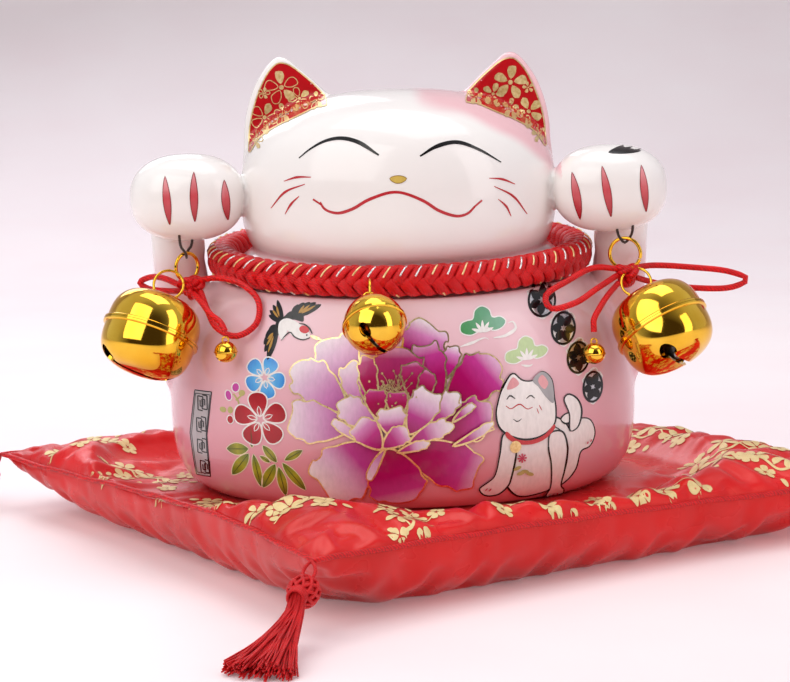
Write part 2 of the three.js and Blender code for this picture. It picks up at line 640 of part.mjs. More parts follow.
// A bell in its own frame: axis +Z to the eye, slot downwards.
function bell(prefix, centre, axis, twist, { radius, power, flatten, detail, eyeRadius }, group) {
  const holder = new THREE.Group();
  const up = new THREE.Quaternion().setFromUnitVectors(vector(0, 0, 1), axis.clone().normalize());
  holder.quaternion.copy(up).multiply(new THREE.Quaternion().setFromAxisAngle(vector(0, 0, 1), radians(twist)));
  holder.position.copy(centre);
  group.add(holder);
  const upper = bellHalf(radius, power, flatten, detail, Math.round(detail / 4));
  const lower = solid(bellHalf(radius, power, flatten, detail, Math.round(detail / 4))).subtract(soundSlot(radius, flatten));
  const lowerGeometry = geometryOf(lower).rotateX(Math.PI);
  const pelletRadius = radius * 0.24;
  const pelletGeometry = new THREE.IcosahedronGeometry(pelletRadius, 1)
    .translate(0, 0, -(radius * flatten - BELL_WALL - pelletRadius - GAP - radius * 0.03));
  const eye = ring(vector(0, 0, eyeHeight(radius, flatten, eyeRadius)), vector(0, 1, 0), eyeRadius, EYE_WIRE_RADIUS, 14, 6);
  const eyeTurned = eye.clone().rotateZ(-radians(twist));
  put(`${prefix}_bell_upper`, geometryOf(solid(upper).add(solid(eyeTurned).subtract(
    solid(new THREE.SphereGeometry(radius - BELL_WALL * 0.5, 16, 10).scale(1, 1, flatten))))), materials.gold, holder);
  put(`${prefix}_bell_lower`, lowerGeometry, materials.gold, holder);
  put(`${prefix}_bell_pellet`, pelletGeometry, materials.steel, holder);
}

// The space a bell's eye takes, in the cat's frame.
function eyeRoom(centre, axis, { radius, flatten, eyeRadius }) {
  const up = new THREE.Quaternion().setFromUnitVectors(vector(0, 0, 1), axis.clone().normalize());
  const middle = vector(0, 0, eyeHeight(radius, flatten, eyeRadius));
  const eye = ring(middle, vector(0, 1, 0), eyeRadius, EYE_WIRE_RADIUS + SLIP, 14, 6);
  return solid(eye.applyQuaternion(up).translate(centre.x, centre.y, centre.z));
}

const bigBell = {
  radius: BIG_BELL_RADIUS, power: BIG_BELL_POWER, flatten: BIG_BELL_FLATTEN, detail: 20, eyeRadius: EYE_RADIUS,
};
const collarBellShape = { radius: COLLAR_BELL_RADIUS, power: 2, flatten: 1, detail: 18, eyeRadius: 2.4 };

function hanging(name, cat) {
  const hanger = hangers[name];
  const reach = eyeHeight(BIG_BELL_RADIUS, BIG_BELL_FLATTEN, EYE_RADIUS) + EYE_RADIUS;
  const axis = hanger.bellAxis.clone().normalize();
  const centre = hanger.bell.clone().addScaledVector(axis, BELLS_DRAWN_FOR - reach);
  const group = new THREE.Group();
  group.position.copy(pawShift(hanger));
  cat.add(group);
  put(`${name}_thread_loop`, hoop(threadPoints(hanger), THREAD_RADIUS, 28, 6), materials.thread, group);
  const turn = radians(hanger.ringTurn);
  const facing = vector(-Math.sin(turn), Math.cos(turn), 0);
  put(`${name}_ring`, ring(hanger.ring, facing, hanger.ringRadius, WIRE_RADIUS), materials.gold, group);

  let knot = solid(egg(hanger.knot, KNOT_SIZE, 2.2, 12, 8));
  knot = knot.subtract(solid(ring(hanger.ring, facing, hanger.ringRadius, WIRE_RADIUS + SLIP, 16, 6)));
  knot = knot.subtract(eyeRoom(centre, axis, bigBell));
  for (const [loop, points] of Object.entries(hanger.loops)) {
    const path = new THREE.CatmullRomCurve3(points);
    put(`${name}_bow_${loop}`, bar(path, CORD_RADIUS, 14), materials.cord, group);
    knot = knot.subtract(solid(bar(path, CORD_RADIUS + GAP, 14)));
  }
  const tail = new THREE.CatmullRomCurve3(hanger.tail);
  put(`${name}_bow_tail`, bar(tail, CORD_RADIUS, 8), materials.cord, group);
  knot = knot.subtract(solid(bar(tail, CORD_RADIUS + GAP, 8)));
  put(`${name}_bow_knot`, geometryOf(knot), materials.cord, group);

  bell(name, centre, axis, hanger.bellTwist, bigBell, group);
  smallBell(name, hanger, group);
}

// The small bell on the tail: one pressed shell, its ring and its pellet.
function smallBell(name, hanger, group) {
  const radius = SMALL_BELL_RADIUS;
  const ball = solid(new THREE.SphereGeometry(radius, 12, 8).rotateX(Math.PI / 2));
  const hollow = solid(new THREE.SphereGeometry(radius - BELL_WALL * 0.8, 10, 6).rotateX(Math.PI / 2));
  const slit = solid(new THREE.BoxGeometry(radius * 1.5, 1.2, radius).translate(0, 0, -radius * 0.9));
  const eye = solid(ring(vector(0, 0, radius + 0.6), vector(0, 1, 0), 1.3, 0.4, 12, 6)).subtract(hollow);
  const holder = new THREE.Group();
  holder.position.copy(hanger.smallBell);
  group.add(holder);
  put(`${name}_small_bell_shell`, geometryOf(ball.subtract(hollow).subtract(slit).add(eye)), materials.gold, holder);
  put(`${name}_small_bell_pellet`,
    new THREE.IcosahedronGeometry(radius * 0.28, 1).translate(0, 0, -radius * 0.44), materials.steel, holder);
}

function bells(group) {
  bell('collar', collarBell.centre, collarBell.axis, 60, collarBellShape, group);
  hanging('left', group);
  hanging('right', group);
}

// ---- assembly ---------------------------------------------------------------------------------

cushion();
tassel('front', -1, -1);
tassel('right', 1, -1);
tassel('back', 1, 1);
tassel('left', -1, 1);

const cat = new THREE.Group();
cat.position.z = SEAT_HEIGHT;
model.add(cat);
catBody(cat);
baseStopper(cat);
collar(cat);
bells(cat);

export default model;
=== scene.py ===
# %% [markdown]
# # Beckoning cat coin bank on a satin cushion
# Everything is in metres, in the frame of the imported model: x to the right, y to the back, z up.
# The cat's own sizes are written in millimetres above its foot, which rests on the cushion.

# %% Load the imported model
import math
import random

import bmesh
import bpy
import numpy as np
from mathutils import Matrix, Vector, noise
from mathutils.bvhtree import BVHTree


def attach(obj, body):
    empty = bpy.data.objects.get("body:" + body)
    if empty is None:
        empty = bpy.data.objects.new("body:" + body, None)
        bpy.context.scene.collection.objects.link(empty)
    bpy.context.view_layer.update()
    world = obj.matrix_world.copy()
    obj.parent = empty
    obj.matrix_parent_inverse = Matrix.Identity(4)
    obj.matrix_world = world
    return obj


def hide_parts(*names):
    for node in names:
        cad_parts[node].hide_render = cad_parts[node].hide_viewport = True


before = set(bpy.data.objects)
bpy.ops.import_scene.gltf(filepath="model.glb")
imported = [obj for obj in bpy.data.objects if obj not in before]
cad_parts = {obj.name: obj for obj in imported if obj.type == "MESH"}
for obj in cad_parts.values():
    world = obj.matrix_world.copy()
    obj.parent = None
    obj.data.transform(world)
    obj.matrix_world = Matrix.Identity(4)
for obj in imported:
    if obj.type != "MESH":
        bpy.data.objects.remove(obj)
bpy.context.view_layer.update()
scene = bpy.context.scene
MM = 0.001
FOOT = 24  # height of the cat's foot above the floor, mm
print("the packed model has", len(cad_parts), "nodes")

# %% [markdown]
# ## Helpers
# `at` places a point given in the cat's millimetres. `colour` is the one place where sRGB becomes linear.

# %% Helpers for points, meshes and objects
def at(x, y, z):
    return Vector((x * MM, y * MM, (z + FOOT) * MM))


def colour(code):
    """An sRGB hex colour as the linear values that shaders use."""
    channels = [int(code[i : i + 2], 16) / 255 for i in (1, 3, 5)]
    return (*(c / 12.92 if c <= 0.04045 else ((c + 0.055) / 1.055) ** 2.4 for c in channels), 1.0)


def smooth_path(points, steps, closed=False):
    """Evenly spaced points on a centripetal spline through the given ones."""
    p = np.array(points, float)
    if closed:
        p = np.vstack([p[-1], p, p[0], p[1]])
    else:
        p = np.vstack([2 * p[0] - p[1], p, 2 * p[-1] - p[-2]])
    parts = []
    for a, b, c, d in zip(p, p[1:], p[2:], p[3:]):
        gaps = [np.linalg.norm(v - u) ** 0.5 for u, v in ((a, b), (b, c), (c, d))]
        t = np.concatenate([[0], np.cumsum(gaps)])
        s = np.linspace(t[1], t[2], 24, endpoint=False)[:, None]

        def mix(u, v, i, j):
            return ((t[j] - s) * u + (s - t[i]) * v) / (t[j] - t[i])

        ab, bc, cd = mix(a, b, 0, 1), mix(b, c, 1, 2), mix(c, d, 2, 3)
        parts.append(mix(mix(ab, bc, 0, 2), mix(bc, cd, 1, 3), 1, 2))
    line = np.vstack([*parts, parts[0][:1] if closed else p[-2][None]])
    run = np.concatenate([[0], np.cumsum(np.linalg.norm(np.diff(line, axis=0), axis=1))])
    even = np.linspace(0, run[-1], steps)
    return np.column_stack([np.interp(even, run, line[:, i]) for i in range(p.shape[1])])


def add_object(name, data, material, body, replaces=()):
    """Links an object, gives it its material, and lets it ride on its body."""
    obj = bpy.data.objects.new(name, data)
    scene.collection.objects.link(obj)
    data.materials.append(material)
    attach(obj, body)
    if replaces:
        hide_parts(*replaces)
    return obj


def mesh_of(name, points, faces, smooth=True):
    mesh = bpy.data.meshes.new(name)
    mesh.from_pydata([tuple(p) for p in points], [], faces)
    mesh.shade_smooth() if smooth else mesh.shade_flat()
    return mesh


def bmesh_data(name, bm, smooth=True):
    mesh = bpy.data.meshes.new(name)
    bmesh.ops.recalc_face_normals(bm, faces=bm.faces)
    bm.to_mesh(mesh)
    bm.free()
    mesh.shade_smooth() if smooth else mesh.shade_flat()
    return mesh


def curve_data(name, paths, radius, kind="POLY", closed=False, radii=None, resolution=3):
    """Round cords as one curve. radii holds a factor for each point of a path, or one list for all."""
    curve = bpy.data.curves.new(name, "CURVE")
    curve.dimensions = "3D"
    curve.bevel_depth = radius
    curve.bevel_resolution = resolution
    curve.resolution_u = 4
    curve.use_fill_caps = not closed
    for path in paths:
        spline = curve.splines.new(kind)
        spline.points.add(len(path) - 1)
        spline.points.foreach_set("co", np.column_stack([path, np.ones(len(path))]).ravel())
        spline.use_cyclic_u = closed
        if radii is not None:
            spline.points.foreach_set("radius", list(radii))
        spline.use_smooth = True
    return curve


def grid_faces(rows, columns, wrap_rows=False, wrap_columns=False):
    """The quads of a grid of points numbered row by row."""
    faces = []
    for i in range(rows if wrap_rows else rows - 1):
        for j in range(columns if wrap_columns else columns - 1):
            k, n = (i + 1) % rows, (j + 1) % columns
            faces.append((i * columns + j, k * columns + j, k * columns + n, i * columns + n))
    return faces


def cleaned(obj, *modifiers):
    """Applies modifiers to a mesh object. Each is (kind, settings)."""
    for kind, settings in modifiers:
        modifier = obj.modifiers.new(kind.lower(), kind)
        for key, value in settings.items():
            setattr(modifier, key, value)
    bpy.context.view_layer.update()
    mesh = bpy.data.meshes.new_from_object(obj.evaluated_get(bpy.context.evaluated_depsgraph_get()))
    obj.modifiers.clear()
    obj.data = mesh
    mesh.shade_smooth()
    return obj


# %% Helpers for materials
def add_node(tree, kind, inputs=None, **settings):
    """Adds a node, sets it up, and joins its inputs to sockets or gives them values."""
    node = tree.nodes.new(kind)
    for key, value in settings.items():
        setattr(node, key, value)
    for key, value in (inputs or {}).items():
        if isinstance(value, bpy.types.NodeSocket):
            tree.links.new(value, node.inputs[key])
        else:
            node.inputs[key].default_value = value
    return node


def new_material(name, **values):
    """A principled material. Values are its constant inputs, with _ for a space."""
    material = bpy.data.materials.new(name)
    material.use_nodes = True
    tree = material.node_tree
    shader = tree.nodes["Principled BSDF"]
    for key, value in values.items():
        shader.inputs[key.replace("_", " ")].default_value = value
    return material, tree, shader


def object_point(tree, scale=(1, 1, 1)):
    where = add_node(tree, "ShaderNodeTexCoord").outputs["Object"]
    return add_node(tree, "ShaderNodeMapping", {"Vector": where, "Scale": scale}).outputs["Vector"]


def noise_value(tree, where, scale, detail=3.0, roughness=0.5):
    inputs = {"Vector": where, "Scale": scale, "Detail": detail, "Roughness": roughness}
    return add_node(tree, "ShaderNodeTexNoise", inputs).outputs["Fac"]


def ramp(tree, factor, stops, interpolation="LINEAR"):
    """A colour ramp through (position, hex) stops."""
    node = add_node(tree, "ShaderNodeValToRGB", {"Fac": factor})
    node.color_ramp.interpolation = interpolation
    elements = node.color_ramp.elements
    for position, _ in stops[2:]:
        elements.new(position)
    for element, (position, code) in zip(elements, stops):
        element.position = position
        element.color = colour(code)
    return node.outputs["Color"]


def math_node(tree, operation, a, b=0.0, clamp=False):
    return add_node(tree, "ShaderNodeMath", {0: a, 1: b}, operation=operation, use_clamp=clamp).outputs[0]


def vary(tree, factor, low, high):
    """Turns a 0 to 1 value into a range."""
    node = add_node(tree, "ShaderNodeMapRange", {"Value": factor, "To Min": low, "To Max": high})
    return node.outputs["Result"]


def bump(tree, shader, height, distance, strength=1.0):
    node = add_node(
        tree, "ShaderNodeBump", {"Height": height, "Distance": distance, "Strength": strength},
    )
    tree.links.new(node.outputs["Normal"], shader.inputs["Normal"])


def wire(tree, value, shader, socket):
    tree.links.new(value, shader.inputs[socket])


# %% [markdown]
# ## Camera, floor and light
# A long lens a little above the cat, in a plain pale studio: a big soft light over the left, a
# narrower one at the right, and light from below the horizon filling the shadows.

# %% Camera
camera = bpy.data.objects.new("camera", bpy.data.cameras.new("camera"))
scene.collection.objects.link(camera)
camera.data.lens = 111.1
camera.data.sensor_width = 36
camera.data.clip_end = 20
turned = Matrix.Rotation(math.radians(81.5), 4, "X") @ Matrix.Rotation(math.radians(-1.3), 4, "Z")
camera.matrix_world = Matrix.Translation((-0.003, -1.0879, 0.2485)) @ turned
scene.camera = camera
scene.view_settings.view_transform = "Standard"

# %% Floor and light
paper, tree, shader = new_material(
    "studio_paper", Roughness=0.6, Emission_Color=(1.0, 0.93, 0.96, 1.0), Emission_Strength=0.12
)
# Matt paper: a faint mottling keeps the floor from looking like a flat fill.
mottle = noise_value(tree, object_point(tree), 6.0)
wire(tree, ramp(tree, mottle, [(0.3, "#F1E2E4"), (0.7, "#F6EBEC")]), shader, "Base Color")

RISE = 1.6
sweep_line = [(y, 0.0) for y in (-3.0, -1.0, 0.9)]
sweep_line += [(0.9 + RISE * math.sin(a), RISE * (1 - math.cos(a))) for a in np.linspace(0.1, 1.5, 15)]
sweep_line += [(2.6, 4.0)]
backdrop_points = [(x, y, z) for y, z in sweep_line for x in (-4.0, 4.0)]
backdrop = bpy.data.objects.new(
    "backdrop", mesh_of("backdrop", backdrop_points, grid_faces(len(sweep_line), 2))
)
backdrop.data.flip_normals()
backdrop.data.materials.append(paper)
scene.collection.objects.link(backdrop)

world = bpy.data.worlds.new("studio")
scene.world = world
world.use_nodes = True
sky = world.node_tree
heading = add_node(
    sky, "ShaderNodeSeparateXYZ", {"Vector": add_node(sky, "ShaderNodeTexCoord").outputs["Generated"]},
)
# The side behind the camera is dim, so polished metal has something dark to mirror.
half_heading = math_node(sky, "MULTIPLY", heading.outputs["Y"], 0.5)
sky_height = vary(sky, math_node(sky, "ADD", half_heading, 0.5), 0.0, 1.0)
sky_colour = ramp(sky, sky_height,
                  [(0.12, "#4A4038"), (0.4, "#D5D8E2"), (1.0, "#F4F6FC")])
sky.links.new(sky_colour, sky.nodes["Background"].inputs["Color"])
sky.nodes["Background"].inputs["Strength"].default_value = 0.8


def area_light(name, place, aim, size, watts, tint):
    light = bpy.data.lights.new(name, "AREA")
    light.shape = "RECTANGLE"
    light.size, light.size_y = size
    light.energy = watts
    light.color = colour(tint)[:3]
    lamp = bpy.data.objects.new(name, light)
    lamp.location = place
    lamp.rotation_euler = (Vector(aim) - Vector(place)).to_track_quat("-Z", "Y").to_euler()
    scene.collection.objects.link(lamp)


middle = (0, 0, 0.11)
area_light("key", (-0.75, -1.0, 1.0), middle, (1.3, 1.3), 12, "#FFFDF8")
area_light("side", (1.1, -0.75, 0.6), middle, (0.5, 1.2), 4, "#FFF6F4")
area_light("top", (0.1, 0.1, 1.4), middle, (1.2, 0.8), 7, "#FFFFFF")
area_light("back", (-0.5, 1.2, 0.9), middle, (0.9, 0.6), 5, "#F2F6FF")
print("camera and light are set")

# %% [markdown]
# ## Materials
# Each is named for what it is. Scales are per metre of the object's own coordinates.

# %% Glazed porcelain
porcelain, tree, shader = new_material(
    "glazed_porcelain", Coat_Weight=0.35, Coat_Roughness=0.05, Coat_IOR=1.45, Specular_IOR_Level=0.3
)
# The glaze's colour is brushed on by zones; a slow mottling gives the airbrushed depth of the pink.
painted = add_node(tree, "ShaderNodeAttribute", attribute_name="glaze").outputs["Color"]
where = object_point(tree)
clouds = noise_value(tree, where, 14.0, 4.0)
tint = ramp(tree, clouds, [(0.3, "#F4ECEE"), (0.7, "#FFFFFF")])
glaze_colour = add_node(
    tree, "ShaderNodeMix", {0: 0.35, 6: painted, 7: tint}, data_type="RGBA", blend_type="MULTIPLY"
).outputs[2]
wire(tree, glaze_colour, shader, "Base Color")
# Thick glaze lies in a faint orange peel, and its gloss varies a little.
bump(tree, shader, noise_value(tree, where, 90.0, 2.0), 0.00012, 0.25)
wire(tree, vary(tree, clouds, 0.09, 0.18), shader, "Roughness")


# %% Enamel colours of the painted pictures
def enamel(name, colour_of, gloss=0.2):
    """Overglaze paint. colour_of(tree) gives its colour; brushwork makes it a little uneven."""
    material, tree, shader = new_material(
        name, Coat_Weight=0.3, Coat_Roughness=0.05, Specular_IOR_Level=0.3,
    )
    where = object_point(tree, (1, 1, 0.4))
    # Brush streaks run up the piece and thin the colour.
    streaks = noise_value(tree, where, 700.0, 3.0)
    shade = ramp(tree, streaks, [(0.25, "#E2E2E2"), (0.7, "#FFFFFF")])
    paint = add_node(
        tree,
        "ShaderNodeMix",
        {0: 0.5, 6: colour_of(tree), 7: shade},
        data_type="RGBA",
        blend_type="MULTIPLY",
    ).outputs[2]
    wire(tree, paint, shader, "Base Color")
    wire(tree, vary(tree, streaks, gloss * 0.8, gloss * 1.3), shader, "Roughness")
    return material


def flat_colour(tree, code):
    node = add_node(tree, "ShaderNodeRGB")
    node.outputs[0].default_value = colour(code)
    return node.outputs[0]


def plain(code):
    """One colour all over a painted shape."""
    return lambda tree: flat_colour(tree, code)


def graded(stops, attribute="along"):
    """Colours along a painted shape, from its root (0) to its edge (1)."""

    def colours(tree):
        share = add_node(tree, "ShaderNodeAttribute", attribute_name=attribute).outputs["Fac"]
        return ramp(tree, share, stops)

    return colours


def gold_paint(name, roughness):
    """Burnished liquid gold, laid thin, so it is a touch uneven."""
    material, tree, shader = new_material(name, Metallic=1.0)
    where = object_point(tree)
    wear = noise_value(tree, where, 900.0, 3.0)
    wire(tree, ramp(tree, wear, [(0.2, "#D9B368"), (0.75, "#FFEDB8")]), shader, "Base Color")
    wire(tree, vary(tree, wear, roughness * 0.7, roughness * 1.4), shader, "Roughness")
    bump(tree, shader, wear, 0.00004, 0.4)
    return material


gold_line = gold_paint("burnished_gold_line", 0.3)
ink = enamel("black_enamel_line", plain("#151213"))
mouth_red = enamel("red_enamel_line", plain("#C22A33"))
ear_red = enamel("red_ear_enamel", plain("#C4151F"))
ear_gold = gold_paint("ear_gold_enamel", 0.45)

# %% Polished brass with a gold plating
plating, tree, shader = new_material("polished_gold_plating", Metallic=1.0, Roughness=0.08)
where = object_point(tree)
# Fingerprint-sized haze and hairline scratches break up the mirror.
haze = noise_value(tree, where, 60.0, 4.0)
wire(tree, ramp(tree, haze, [(0.3, "#E6AC2C"), (0.75, "#F8CB4C")]), shader, "Base Color")
scratch_space = object_point(tree, (1.0, 0.06, 1.0))
scratches = noise_value(tree, scratch_space, 2600.0, 2.0)
wire(tree, vary(tree, haze, 0.04, 0.13), shader, "Roughness")
bump(tree, shader, scratches, 0.00001, 0.2)

steel, tree, shader = new_material("bell_pellet_steel", Metallic=1.0, Roughness=0.35)
# Tumbled steel: fine pitting.
pits = noise_value(tree, object_point(tree), 900.0, 2.0)
wire(tree, ramp(tree, pits, [(0.3, "#8E9196"), (0.7, "#C3C6CA")]), shader, "Base Color")
bump(tree, shader, pits, 0.00004, 0.4)

rubber, tree, shader = new_material("stopper_rubber", Roughness=0.75)
# Moulded rubber: dusty, with a fine grain.
grain = noise_value(tree, object_point(tree), 1500.0, 2.0)
wire(tree, ramp(tree, grain, [(0.3, "#C9C4BA"), (0.7, "#E0DCD3")]), shader, "Base Color")
bump(tree, shader, grain, 0.00005, 0.5)


# %% Satin cord, braid and thread
def cord_material(name, dark, light, scale, sheen=0.06):
    """Twisted synthetic floss: fine strands that catch the light along their run. That catch of the light
    is painted into the colour: a painted highlight along each strand and painted shade between strands,
    with random patches.
    """
    material, tree, shader = new_material(
        name, Roughness=0.45, Specular_IOR_Level=0.35, Sheen_Weight=sheen, Sheen_Roughness=0.35,
    )
    where = object_point(tree, (1.0, 1.0, 1.0))
    strands = add_node(
        tree,
        "ShaderNodeTexWave",
        {"Vector": where, "Scale": scale, "Distortion": 6.0, "Detail": 2.0, "Detail Scale": 2.0},
        wave_type="BANDS",
        bands_direction="DIAGONAL",
    ).outputs["Fac"]
    patchy = noise_value(tree, where, 120.0)
    # Painted light: the strand bands give a painted highlight on each strand and painted shade between
    # strands; the patches are random tone.
    painted_sheen_and_tone = math_node(tree, "MULTIPLY", math_node(tree, "ADD", strands, patchy), 0.5)
    wire(tree, ramp(tree, painted_sheen_and_tone, [(0.2, dark), (0.75, light)]), shader, "Base Color")
    bump(tree, shader, strands, 0.00012, 0.5)
    return material


satin_cord = cord_material("red_satin_cord", "#A80006", "#F20C14", 420.0)
braid_red = cord_material("red_braid_leatherette", "#AE0007", "#EC0E15", 600.0, 0.04)
tassel_silk = cord_material("red_tassel_silk", "#A00005", "#E9141B", 900.0, 0.08)
black_thread = cord_material("black_cotton_thread", "#1E1513", "#4A3731", 1500.0, 0.2)
metal_thread = gold_paint("gold_metal_thread", 0.35)

# %% [markdown]
# ## The six satin cords
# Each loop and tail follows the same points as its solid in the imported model, with 2.7 mm cord.

# %% Satin cords
CORD = 0.0027
cord_routes = {
    "left_bow_back_loop": [
        (-96, -37.5, 94.2), (-104, -31, 96.8), (-110, -26, 96.5), (-114.5, -24, 94),
        (-111, -25, 91.5), (-103, -28.5, 90.7), (-95, -34, 91.2),
    ],
    "left_bow_round_loop": [
        (-87.4, -36.8, 96), (-79, -42, 97.5), (-69, -47, 95.5), (-61, -54, 88.5), (-62, -60, 79.5),
        (-70.5, -60, 74.5), (-79, -55.5, 77.5), (-83.5, -47.5, 84.5), (-86.7, -39, 91.2),
    ],
    "left_bow_tail": [
        (-89.8, -40.6, 90.6), (-85.5, -48.5, 87.5), (-81.5, -55.5, 83.5), (-77, -61.5, 80.8),
        (-75.1, -63.4, 77.4),
    ],
    "right_bow_long_loop": [
        (101.5, -32.5, 96.5), (110, -28, 97), (128, -25, 95.4), (145, -25, 93), (152.4, -25, 89.6),
        (146, -25, 86.3), (128, -24.5, 86.3), (113, -24.5, 88.6), (102.5, -31.5, 92.3),
    ],
    "right_bow_flat_loop": [
        (94, -35.8, 96.8), (84, -40, 98), (72, -50, 94), (61.5, -57.5, 88), (63.5, -60, 83.5),
        (74, -57, 85), (84.5, -48, 90), (93.8, -37, 93.9),
    ],
    "right_bow_tail": [
        (94.4, -38.4, 90.8), (89.2, -45.5, 86.5), (85, -52.5, 82), (82.2, -56.2, 77.5),
        (82.1, -57.2, 72.4),
    ],
}
bow_cords = {}
for name, points in cord_routes.items():
    path = smooth_path([at(*p) for p in points], 38)
    length = float(np.linalg.norm(np.diff(path, axis=0), axis=1).sum())
    cord = add_object(
        f"{name}_cord", curve_data(name, [path], CORD / 2), satin_cord, name.split("_")[0] + "_hanger",
        [name]
    )
    bow_cords[name] = (cord, path, length)
    print(name, "is", round(length * 1000), "mm long")

# %% [markdown]
# ## The cat
# The glazed body is one skin over turned and egg-shaped forms that melt into each other: body, head,
# arms, paws and ears. The forms are first merged roughly, then every point is drawn onto the exact
# surface, so that reflections run smoothly across the joins.

# %% The cat's forms
BODY_OUTLINE = [
    (0, -34), (60, -26), (88, -10), (91, 0), (97.5, 5), (102.5, 15), (104.5, 30), (104, 45),
    (101.5, 60), (96.5, 74),
    (89, 86), (80, 95), (70, 103), (60, 110), (40, 119), (0, 124),
]
HEAD_OUTLINE = [
    (0, 82), (25, 85), (50, 97), (63.5, 105), (68.7, 115), (70, 127), (69, 142), (63.5, 155),
    (53, 164.5), (38, 171),
    (20, 174.6), (0, 175.5),
]
BODY_CENTRE, BODY_DEPTH = 45, 0.8
HEAD_CENTRE, HEAD_DEPTH, HEAD_Y = 132, 0.86, -5
PAW, PAW_SIZE, PAW_POWER = (92.5, -22, 131), (25, 21, 19), 2.35
ARM_LOW, ARM_HIGH, ARM_RADIUS = (96, -2, 52), (100, -4, 131), 11.2
EAR_TIP = (51.4, 2, 189)
COLLAR_WIDTH, COLLAR_DEPTH, COLLAR_HEIGHT, COLLAR_TILT, ROPE = 79.5, 66, 102, 4.6, 7


def outline_reach(outline, centre):
    """How far an outline is from its centre at each angle above the level."""
    line = smooth_path(outline, 400)
    angle = np.arctan2(line[:, 1] - centre, line[:, 0])
    reach = np.hypot(line[:, 0], line[:, 1] - centre)
    even = np.linspace(-math.pi / 2, math.pi / 2, 361)
    rough = np.interp(even, angle, reach)
    soft = np.convolve(
        np.pad(rough, 6, mode="edge"), np.hanning(15)[1:-1] / np.hanning(15).sum(), "valid",
    )
    return even, soft


body_reach = outline_reach(BODY_OUTLINE, BODY_CENTRE)
head_reach = outline_reach(HEAD_OUTLINE, HEAD_CENTRE)


def turned_form(p, reach, centre, depth, y):
    r = np.hypot(p[:, 0], (p[:, 1] - y) / depth)
    height = p[:, 2] - centre
    return np.hypot(r, height) - np.interp(np.arctan2(height, r), *reach)


def bar_form(p, a, b, radius):
    a, b = np.array(a, float), np.array(b, float)
    share = np.clip((p - a) @ (b - a) / ((b - a) @ (b - a)), 0, 1)
    return np.linalg.norm(p - a - share[:, None] * (b - a), axis=1) - radius


def egg_form(p, centre, size, power):
    q = np.abs((p - centre) / size)
    return ((q**power).sum(1) ** (1 / power) - 1) * min(size)


def soft_min(forms, k):
    return -k * np.log(sum(np.exp(-f / k) for f in forms))


def ear_outline():
    """An ear seen from the front: a rounded triangle whose outer edge bulges."""
    tx, _, tz = EAR_TIP
    outer_edge = [(tx + 1.9, tz + 0.8), (61, 181), (66.2, 168), (68, 154), (66, 140)]
    inner_edge = [(20, 155), (24.5, 166), (33.5, 176.5), (43, 185.2), (tx - 2, tz + 1)]
    return smooth_path([*outer_edge, (44, 138), *inner_edge], 120, closed=True)


EAR_SHAPE = ear_outline()


def ear_form(p):
    """Distance to an ear's outline, rounded over its thickness."""
    far = np.full(len(p), 60.0)
    near = (p[:, 2] > 130) & (np.abs(p[:, 0]) > 12)
    far[near] = near_ear_form(p[near])
    return far


def near_ear_form(p):
    x, y, z = np.abs(p[:, 0]), p[:, 1], p[:, 2]
    here = np.column_stack([x, z])
    a, b = EAR_SHAPE[:-1], EAR_SHAPE[1:]
    edge = b - a
    best = np.full(len(p), 1e9)
    inside = np.zeros(len(p), bool)
    for start, run, end in zip(a, edge, b):
        share = np.clip((here - start) @ run / (run @ run), 0, 1)
        best = np.minimum(best, np.linalg.norm(here - start - share[:, None] * run, axis=1))
        crosses = (start[1] > z) != (end[1] > z)
        slope = run[0] / (run[1] if run[1] else 1e-9)
        inside ^= crosses & (x < start[0] + (z - start[1]) * slope)
    flat = np.where(inside, -best, best)
    half = np.interp(z, [140, 160, 189], [8.5, 6.6, 3.2])
    hollow = 1.6 * np.exp(-(((x - 48) / 11) ** 2 + ((z - 164) / 14) ** 2)) * (y < 2)
    deep = np.abs(y - 2.5) - half + hollow
    soft = 2.4
    return np.where(
        (flat > -soft) & (deep > -soft),
        np.hypot(np.maximum(flat + soft, 0), np.maximum(deep + soft, 0)) - soft,
        np.maximum(flat, deep),
    )


collar_angle = np.linspace(0, 2 * math.pi, 241)[:-1]
collar_ring_points = np.column_stack([
    COLLAR_WIDTH * np.cos(collar_angle),
    COLLAR_DEPTH * np.sin(collar_angle),
    COLLAR_HEIGHT + COLLAR_TILT * np.sin(collar_angle),
])


def collar_form(p):
    near = np.full(len(p), 99.0)
    close = (p[:, 2] > 80) & (p[:, 2] < 122)
    gaps = np.linalg.norm(p[close][:, None, :] - collar_ring_points[None, :, :], axis=2)
    near[close] = gaps.min(1) if close.any() else near[close]
    return near - (ROPE + 0.6)


def cat_form(p):
    """0 on the glazed surface, below 0 inside it."""
    trunk = turned_form(p, body_reach, BODY_CENTRE, BODY_DEPTH, 0)
    head = turned_form(p, head_reach, HEAD_CENTRE, HEAD_DEPTH, HEAD_Y)
    right = np.column_stack([np.abs(p[:, 0]), p[:, 1], p[:, 2]])
    arm = bar_form(right, ARM_LOW, ARM_HIGH, ARM_RADIUS)
    paw = egg_form(right, PAW, PAW_SIZE, PAW_POWER)
    head_and_ears = soft_min([head, ear_form(p)], 1.1)
    whole = soft_min([soft_min([trunk, arm], 2.0), soft_min([paw, arm], 1.2), head_and_ears], 0.9)
    groove = collar_form(p)
    whole = -soft_min([-whole, groove], 0.6)
    return -soft_min([-whole, p[:, 2] + 0.001], 1.2)


def slope_of(p, step=0.15):
    """The form's slope at each point, which is square to the surface."""
    columns = []
    for axis in np.eye(3):
        columns.append((cat_form(p + step * axis) - cat_form(p - step * axis)) / (2 * step))
    return np.column_stack(columns)


def onto_surface(p, rounds=4):
    for _ in range(rounds):
        slope = slope_of(p)
        off = np.clip(cat_form(p), -1.5, 1.5)
        p = p - slope * (off / np.maximum((slope**2).sum(1), 0.2))[:, None]
    return p


